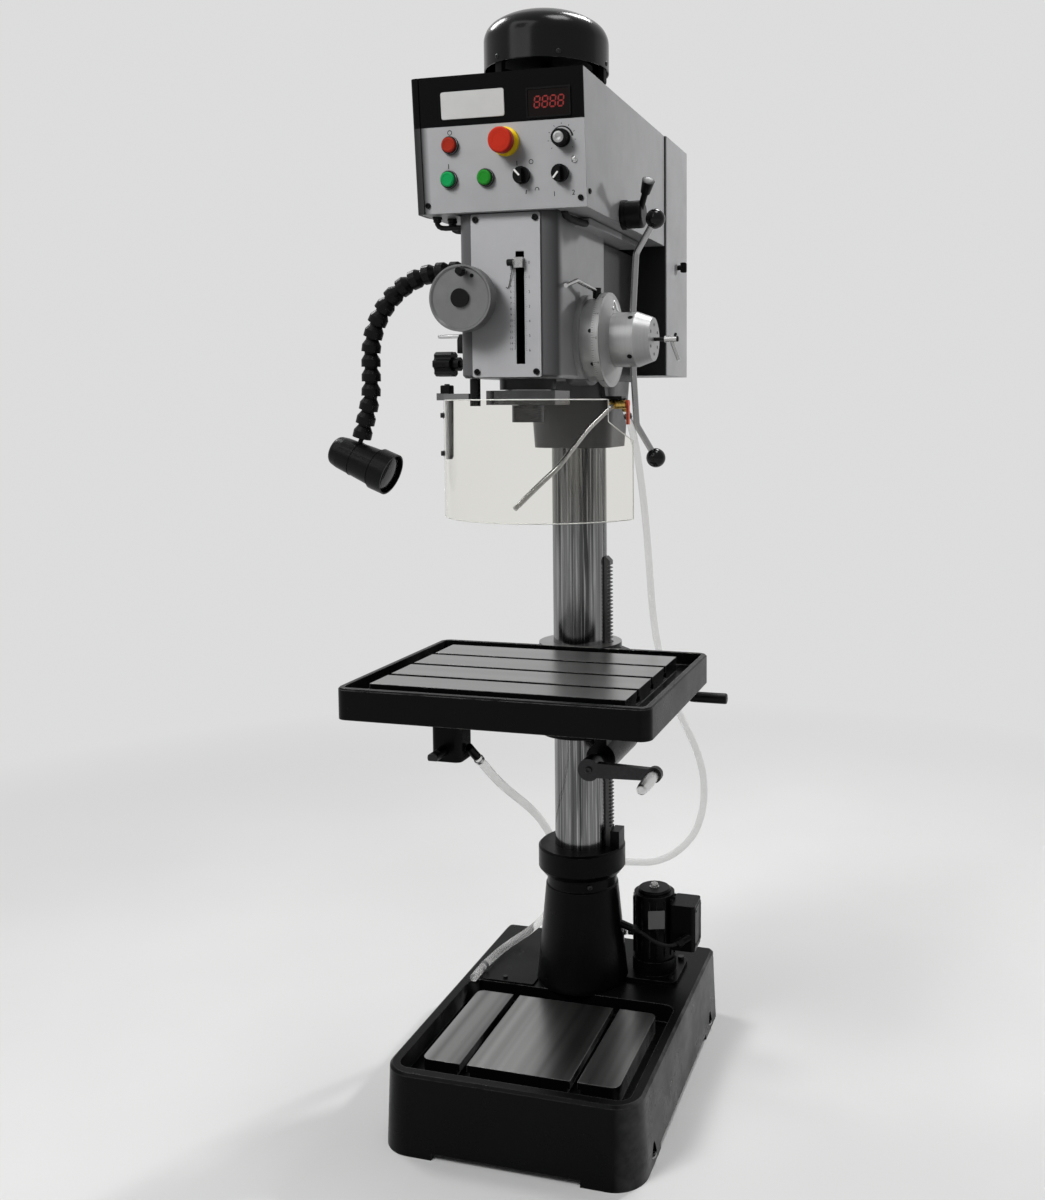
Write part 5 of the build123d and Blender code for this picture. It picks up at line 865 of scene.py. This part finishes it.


# A dark piece over the box's rounded left corner is painted shade.
piece("panel_corner_shade", "panel_corner_shade_and_print", "black_plastic",
      loft(to_metres, [[(x, panel_y(z) + y, z) for x, y in corner_shade_section] for z in (1731.2, 1960.8)]))
piece("blank_name_plate", "plate_white", "grey_paint",
      plate(sunk(panel(-46, 1911.5), 0.1), 117.5, 46, 1.3, 4))
display = sunk(panel(93, 1906))
piece("display_bezel", "black_plastic", "black_plastic", frame_ring(display, 80, 50, 2.6, 2.6, 3))
piece("display_window", "dark_window", "black_plastic", plate(display, 76, 46, 1, 1.5))
slant = Matrix(((1, digit_slant, 0, 0), (0, 1, 0, 0), (0, 0, 1, 0), (0, 0, 0, 1)))
digits = []
for k in range(4):
    place = panel(94 + (k - 1.5) * digit_pitch, 1907, segment_lift)
    digits += seven_segment(place @ slant, digit_w, digit_h, digit_stroke)
piece("display_digits", "led_red", "red_plastic", *digits)
speed_dial = panel(*speed_place)
turns = [spin(speed_tick_start - speed_tick_step * k) for k in range(9)]
piece("panel_symbols", "black_ink", "black_plastic",
      flat_ring(beside(stop_place, 0, 21), 3.2, 4.4),
      bar(beside(start_place, 0, 22), 1.6, 8.5),
      flat_ring(beside(left_place, 17, 22), 3, 4.2),
      bar(beside(left_place, -9, 21), 1.5, 8),
      bar(beside(left_place, 6, -28) @ spin(-10), 1.6, 7),
      arc_wedge(beside(left_place, 26, -24.5), 3.4, -120, 120, 1, 1.4),
      letters(beside(right_place, -12.7, -34), "1", 12),
      letters(beside(right_place, 21.8, -33), "2", 12),
      arc_wedge(speed_dial, 19.5, -62, 82, 0.7, 3.6),
      *[bar(speed_dial @ turn @ shift(y=speed_tick_r), 0.9, 2.8) for turn in turns])
places = [panel(-139, 1745.5), panel(145, 1746.5), at(155.5, -286, 1759, (1, 0, 0))]
screws("panel_screws", "black_plastic", "frame", cap_screw, 4.9, 3, [sunk(place) for place in places])
piece("indicator_dome", "bright_chrome", "bright_chrome",
      lathe(sunk(panel(135.1, 1810)),
            [(5.6, 0), (5.6, 1), (4.8, 1.6), (4.3, 1.7), (4.1, 3), (3.3, 4.2), (1.8, 4.9)]))
piece("button_bezels", "black_plastic", "black_plastic",
      *[lathe(panel(*place), bezel_profile, 48, True) for place in (stop_place, start_place, reverse_place)])
for name, place, look, slot in (
        ("stop_button", stop_place, "red_plastic", "red_plastic"),
        ("start_button", start_place, "green_plastic", "green_plastic"),
        ("reverse_button", reverse_place, "reverse_green", "green_plastic")):
    rim = lathe(panel(*place, button_top - 0.05), rim_profile, 48, True)
    piece(name + "_rim", look, slot, rim, body=name)
piece("estop_ring", "estop_red", "red_plastic",
      flat_ring(panel(13, 1845.5, estop_top - 0.1), 12.6, 14.2, 0.4, 48), body="estop_button")
for name, place, turn in (("selector_left", left_place, 42), ("selector_right", right_place, 138)):
    pointer = panel(*place, knob_top - 0.1) @ spin(turn) @ shift(y=5)
    piece(name + "_pointer", "white_ink", "grey_paint", plate(pointer, 3.2, 14, 0.35, 1, 0.1), body=name)
cap_profile = [(9.4, 0), (9.4, 0.5), (8.8, 0.9), (3.6, 0.95), (3, 0.55), (0.8, 0.5)]
piece("speed_knob_cap", "spun_cap", "bright_chrome",
      lathe(panel(*speed_place, knob_top - 0.1), cap_profile, 48), body="speed_knob")
piece("speed_knob_ribs", "black_plastic", "black_plastic",
      *[bar(speed_dial @ spin(360 / knob_ribs * k) @ shift(y=knob_rib_r, z=knob_rib_low), 1.3, 1.6, 13.2)
        for k in range(knob_ribs)], body="speed_knob")

# Front plate with the depth scale, and the conduits, stop arm and its pin beside the head
plate_face_y, slot_left_x, slot_right_x = -286.5, 19, 35
scale_zero_z, inch = 1642, 25.4
scale_ticks, dial_ticks, tick_rise = (4.2, 3, 1.9), (7, 5, 3.4), 0.1
conduit_top_z, conduit_low_z, conduit_end_x = 1731.5, 1711, -94
conduit_nut = [(8.5, 0), (8.5, 4), (7.2, 5), (7.2, 9), (5, 10.5)]
right_conduit = [
    (103, -266, 1731.5), (104, -262, 1724), (107, -248, 1720.5), (112, -222, 1719), (116, -196, 1719),
    (117, -188, 1720)]
pointer_wire = [
    (15, -290, 1638), (12.5, -289.2, 1626), (9, -288.6, 1612), (6, -288.2, 1600), (4, -288, 1598.5),
    (1, -288, 1600)]


def tick(k, every, lengths):
    """Length of a tick, of three: for one in every so many, half way, and between."""
    return lengths[0] if k % every == 0 else lengths[1] if k % (every // 2) == 0 else lengths[2]


def plate_at(x, z):
    return at(x, plate_face_y, z)


screws("front_plate_screws", "black_plastic", "frame", cap_screw, 5.6, 3.2,
       [sunk(plate_at(x, z)) for x in (-56, 56) for z in (1719.5, 1452.5)])
marks = []
for count, every, pitch, edge_x, way, width in (
        (151, 10, 1, slot_left_x, -1, 0.36), (49, 8, inch / 8, slot_right_x, 1, 0.4)):
    for k in range(count):
        length = tick(k, every, scale_ticks)
        place = plate_at(edge_x + way * (1 + length / 2), scale_zero_z - k * pitch)
        marks.append(bar(place, length, width, tick_rise))
for count, x, pitch, size in ((16, slot_left_x - 9.5, 10, 6), (7, slot_right_x + 9, inch, 7)):
    for k in range(count):
        marks.append(letters(plate_at(x, scale_zero_z - pitch * k), str(k), size, tick_rise))
piece("depth_scale", "black_ink", "black_plastic", *marks)
piece("pointer_wire", "dark_steel", "turned_steel", tube(pointer_wire, 0.7, 10), body="quill")
conduits = []
for x, y in ((-140, -262), (-122, -238), (-132, -214)):
    line = [(x, y, 1724), (x, y, 1719), (x + 3, y, 1714.5), (x + 8, y, 1712), (x + 16, y, conduit_low_z),
            (conduit_end_x, y, conduit_low_z)]
    conduits += [lathe(level(x, y, conduit_top_z, -1), conduit_nut, 24), tube(line, 4.6)]
piece("wire_conduits", "black_rubber", "black_cable", *conduits, tube(right_conduit, 6.4))
piece("stop_arm", "black_plastic", "black_paint",
      slab(at(-94.6, -244, 1488, (-1, 0, 0)) @ shift(x=-6),
           [(0, 0), (14, 0), (14, 24), (8, 34), (-2, 36), (-8, 28), (-2, 20)], 15))
piece("stop_arm_pin", "bright_chrome", "bright_chrome",
      lathe(at(-108, -245, 1519, (-1, 0, 0)), [(3.6, 0), (3.6, 40), (3, 41.5), (1.8, 42)], 20))

# Feed unit: angles about its axis are from straight up, towards the front
feed_y, feed_z = -122, 1514
cone_x, cone_r, cone_rise, cone_run = 144.4, 81, 9, 28
dial_r, dial_x, dial_figure_x, dial_count = 87.5, 131.9, 141.2, 120


def feed_at(x, r, angle):
    """Frame on a cylinder about the feed axis."""
    a = radians(angle)
    out = (0, -sin(a), cos(a))
    return at(x, feed_y + r * out[1], feed_z + r * out[2], out, (1, 0, 0))


def cone_at(r, angle):
    """Frame on the dial's conical face, Y away from the axis."""
    a = radians(angle)
    away = Vector((0, -sin(a), cos(a)))
    x = cone_x + cone_rise * (cone_r - r) / cone_run
    out = Vector((cone_run, 0, 0)) + cone_rise * away
    return sunk(at(x, feed_y + r * away.y, feed_z + r * away.z, out, away))


marks = []
for k in range(dial_count):
    length = tick(k, 10, dial_ticks)
    marks.append(bar(feed_at(dial_x + length / 2, dial_r, 360 * k / dial_count), 0.5, length, tick_rise))
for k in range(0, dial_count, 10):
    marks.append(letters(feed_at(dial_figure_x, dial_r, 360 * k / dial_count), str(k), 4.4, tick_rise))
piece("dial_graduations", "black_ink", "black_plastic", *marks, body="feed")
piece("dial_index_plate", "bright_chrome", "dial_alloy",
      slab(cone_at(66, -12), [(-8, -11), (8, -11), (8, 4), (0, 12), (-8, 4)], 1.6),
      *[cross_screw(cone_at(58.5, angle), 3.4, 2.6) for angle in (-34, 12)], body="feed")
piece("hub_screws", "black_plastic", "dark_steel",
      *[cap_screw(feed_at(190, 50.4, angle), 4.8, 0.5) for angle in (40, 130, 220, 310)],
      *[cap_screw(sideways(226.3, (feed_y, feed_z), 27, a), 3.2, 0.35) for a in around(6, 30)],
      body="feed")
screws("drum_screws", "black_plastic", "frame", cap_screw, 3.8, 0.5,
       [feed_at(126, 76.4, angle) for angle in (80, 127, 200, 320)])
clamp_end = at(269.6, feed_y, feed_z, (1, 0, 0))
clamp_pin = at(266, feed_y, feed_z + 5.6, (0.4, 0, 1))
piece("dial_clamp_end", "black_plastic", "dark_steel",
      lathe(clamp_end, [(5.2, 0), (5.2, 2), (4.4, 3), (2, 3.4)], 24),
      lathe(clamp_pin, [(2.6, 0), (2.6, 4), (2, 5.4), (0.8, 6)], 20), body="dial_clamp")
screws("wheel_screw", "black_plastic", "fine_feed", cap_screw, 3.6, 0.8, [sunk(at(-46, -329, 1618))])

# Motor cowl, rear cabinet and gear lever
motor_centre, cowl_radius, cowl_screw_z = (0, -62.5), 119, 2034
back_y, back_z, door_w, door_h, door_t, door_face = 430, 1708, 292, 470, 1.8, 1.4
vent_x, vent_top, vent_pitch, vent_rows = 68, 150, 12, 7
vent_rings = [rounded(84, 5, 2.2), rounded(83, 3.6, 1.7, 1.6), rounded(82, 2, 0.9, 2.4)]
hinge_x, hinge_y, hinge_half = 149, 431.5, 20
lever_root, lever_way, lever_length = Vector((187.9, -83, 1748.5)), Vector((0.4003, -0.6012, 0.6916)), 76
screws("cowl_screws", "dark_steel", "frame", cross_screw, 4.6, 2.2,
       [sunk(upright(motor_centre, cowl_radius, a, cowl_screw_z), 0.3) for a in around(6)])
back = at(0, back_y, back_z, (0, 1, 0))
vents = [loft(back @ shift(side * vent_x, vent_top - vent_pitch * row, door_face), vent_rings)
         for side in (-1, 1) for row in range(vent_rows)]
hinges = [tube([(hinge_x, hinge_y, z + step) for step in (-hinge_half, 0, hinge_half)], 3.4)
          for z in (back_z - 170, back_z, back_z + 170)]
piece("cabinet_door", "grey_paint", "grey_paint",
      plate(sunk(back), door_w, door_h, door_t, 6), *vents, *hinges)
screws("cabinet_screws", "dark_steel", "frame", cross_screw, 4.2, 2.2,
       [back @ shift(x, z, door_face) for x, z in corners(136, 222)])
# The grey cap at the lever's end is a painted highlight of its top.
lever_end = sunk(at(*(lever_root + lever_length * lever_way), lever_way), 0.3)
piece("gear_lever_highlight_cap", "grey_plastic", "grey_paint",
      lathe(lever_end, [(10.8, 0), (10.8, 0.6), (10.2, 1), (3, 1.1)]), body="gear_lever")

# Guard and lamp
guard_centre, guard_mid_r, guard_outer_r = (24, -135.9), 195.1, 196.4
guard_low, guard_high, guard_left, guard_right = 1187, 1403, -160.2, -19.8
guard_bolt_angle, guard_bolt_z = radians(guard_left + 2.9), (1375, 1304)
scallop_angle, scallop_r = -37.9, 201
arc_steps, scallop_steps = 36, 8
strip_outline = [(-9, 56), (9, 56), (7.5, -50), (5, -55), (-7, -55), (-9, -50)]
arm_head, arm_head_low, arm_head_high = (-151, -208), 1414, 1431
lamp_rear, lamp_way = Vector((-386.26, -212, 1310.35)), Vector((0.92718, 0, -0.37461))
lens_profile = [(37.2, 0), (37.2, 1.5), (34, 3.4), (26, 5.6), (14, 7), (4, 7.4)]
lamp_base_x, lamp_base_centre, lamp_screw_r = -102, (-212, 1640), 20


def on_guard(angle, z):
    a = radians(angle)
    return (guard_centre[0] + guard_mid_r * cos(a), guard_centre[1] + guard_mid_r * sin(a), z)


def scallop_z(angle):
    return feed_z - sqrt(scallop_r ** 2 - (on_guard(angle, 0)[1] - feed_y) ** 2)


def lamp_at(distance):
    """Frame on the lamp head's axis, from its rear."""
    return at(*(lamp_rear + distance * lamp_way), lamp_way, (0, 1, 0))


path = [on_guard(angle, guard_high) for angle in spread(guard_left, scallop_angle, arc_steps)]
path += [on_guard(angle, scallop_z(angle)) for angle in spread(scallop_angle, guard_right, scallop_steps)]
path += [on_guard(angle, guard_low) for angle in spread(guard_right, guard_left, arc_steps)]
# A pale tube round the shield's edge is a painted highlight of the sheet's edge.
piece("guard_edge_highlight", "sheet_edge_highlight", "clear_sheet", tube(path + path[:1], 1, 8), body="guard")
screws("guard_bolts", "dark_steel", "guard", hex_bolt, 5.2, 6,
       [upright(guard_centre, guard_outer_r, guard_bolt_angle, z) for z in guard_bolt_z])
piece("guard_strip", "grey_plastic", "dark_steel",
      slab(at(-150, -203, 1348, (0.1, -1, 0)), strip_outline, 5), body="guard")
piece("guard_arm_head", "black_plastic", "dark_steel",
      plate(level(*arm_head, arm_head_low), 20, 20, arm_head_high - arm_head_low, 2.5, 1.5),
      cap_screw(sunk(level(*arm_head, arm_head_high), 0.3), 5, 2.6), body="guard")
piece("lamp_lens", "lamp_lens", "clear_sheet", lathe(lamp_at(117.8), lens_profile, 48), body="lamp_head")
piece("lamp_rings", "black_plastic", "black_plastic", band(lamp_at(119), 36.6, 38.2, 5),
      band(lamp_at(48), 32.6, 34, 2.2), band(lamp_at(92), 35.4, 37.2, 2.2),
      lathe(lamp_at(1) @ spin(180, "X"), [(8, 0), (8, 2.4), (7, 3.4), (2, 3.8)], 24), body="lamp_head")
screws("lamp_base_screws", "dark_steel", "frame", cap_screw, 3.4, 3,
       [sunk(sideways(lamp_base_x, lamp_base_centre, lamp_screw_r, a, -1), 1.5) for a in around(3, 30)])

# Pump, foot and table
pump_centre, pump_top_z = (146, 176), 344.8
foot_centre, foot_r, foot_screw_z = (0, 117.5), 75, 380
washer_profile = [(8.6, 0), (15.5, 0), (15.5, 1.8), (14.8, 2.4), (8.6, 2.4)]
grip_profile = [(8.2, 0), (10.2, 0.6), (11, 2.5), (11.4, 12), (11.4, 76), (10.6, 78.6), (8, 79.6)]
piece("pump_bright_fittings", "bright_steel", "turned_steel",
      hex_bolt(level(*pump_centre, pump_top_z), 8.5, 9),
      band(along(*supply_route[:2], 0.3, 3.5), 7.2, 8.6, 7))
piece("pump_blank_label", "label_grey", "grey_paint",
      plate(upright(pump_centre, 46.6, radians(-70), 290), 36, 40, 1.2, 2))
terminal = at(243, 176, 272, (1, 0, 0))
piece("pump_glands", "black_plastic", "black_plastic",
      gland_nut(along(cable_route[-1], cable_route[-2], 0, 2), 4.1, 11, 14),
      gland_nut(along(*cable_route[:2], 0, 2), 4.1, 10, 14),
      frame_ring(sunk(terminal, 0.3), 56, 88, 5, 1.4, 5),
      *[cross_screw(terminal @ shift(y, z, 0.8), 3, 1.6) for y, z in corners(21, 37)])

# Drain hose, as two lengths, split at a height
line = route_line(drain_route)
split = min(range(len(line)), key=lambda k: abs(line[k].z - drain_split_z))
for name, part, bodies, heights, far_end, caps in (
        ("upper", line[:split + 1], ("table", "rack_ring"), upper_blend_z, "object", (True, False)),
        ("lower", line[split:], ("rack_ring", "frame"), lower_blend_z, "bare", (False, True))):
    hose = tube(part, drain_radius, 24, caps)
    made = piece("drain_hose_" + name, "clear_hose", "clear_hose", hose, body=None)
    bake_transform(made)
    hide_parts("drain_hose")
    length = sum((b - a).length for a, b in zip(part, part[1:])) * MM

piece("nozzle_sheath", "nozzle_steel", "bright_chrome",
      tube(route_line(nozzle_route)[:-1], sheath_radius, 20))
piece("hose_clamps", "grey_plastic", "turned_steel",
      band(along(supply_route[-1], supply_route[-2], 0.75, 3.5), 7.2, 8.7, 7),
      band(along(*drain_route[-3:-1], 0.5, 4), 8.2, 9.7, 8))
piece("drain_hose_clamp", "bright_steel", "turned_steel",
      band(along(*drain_route[:2], 0.25, 3.5), 8.2, 9.8, 7), body="table")
screws("foot_set_screws", "dark_steel", "frame", cap_screw, 5.6, 4,
       [sunk(upright(foot_centre, foot_r, a, foot_screw_z), 0.5) for a in around(3, 180)])
piece("anchor_washers", "bright_steel", "turned_steel",
      *[lathe(level(x, y, 13.9), washer_profile, 40, True) for x, y in corners(244, 245.5)])
screws("crank_screw", "dark_steel", "table_crank", cap_screw, 7, 3.4, [sunk(at(89.5, -110, 686), 0.3)])
piece("clamp_lever_grip", "black_plastic", "dark_steel",
      lathe(at(230, 159.4, 776, (1, 0, 0)), grip_profile), body="table_clamp")

scene.view_settings.view_transform = "Standard"
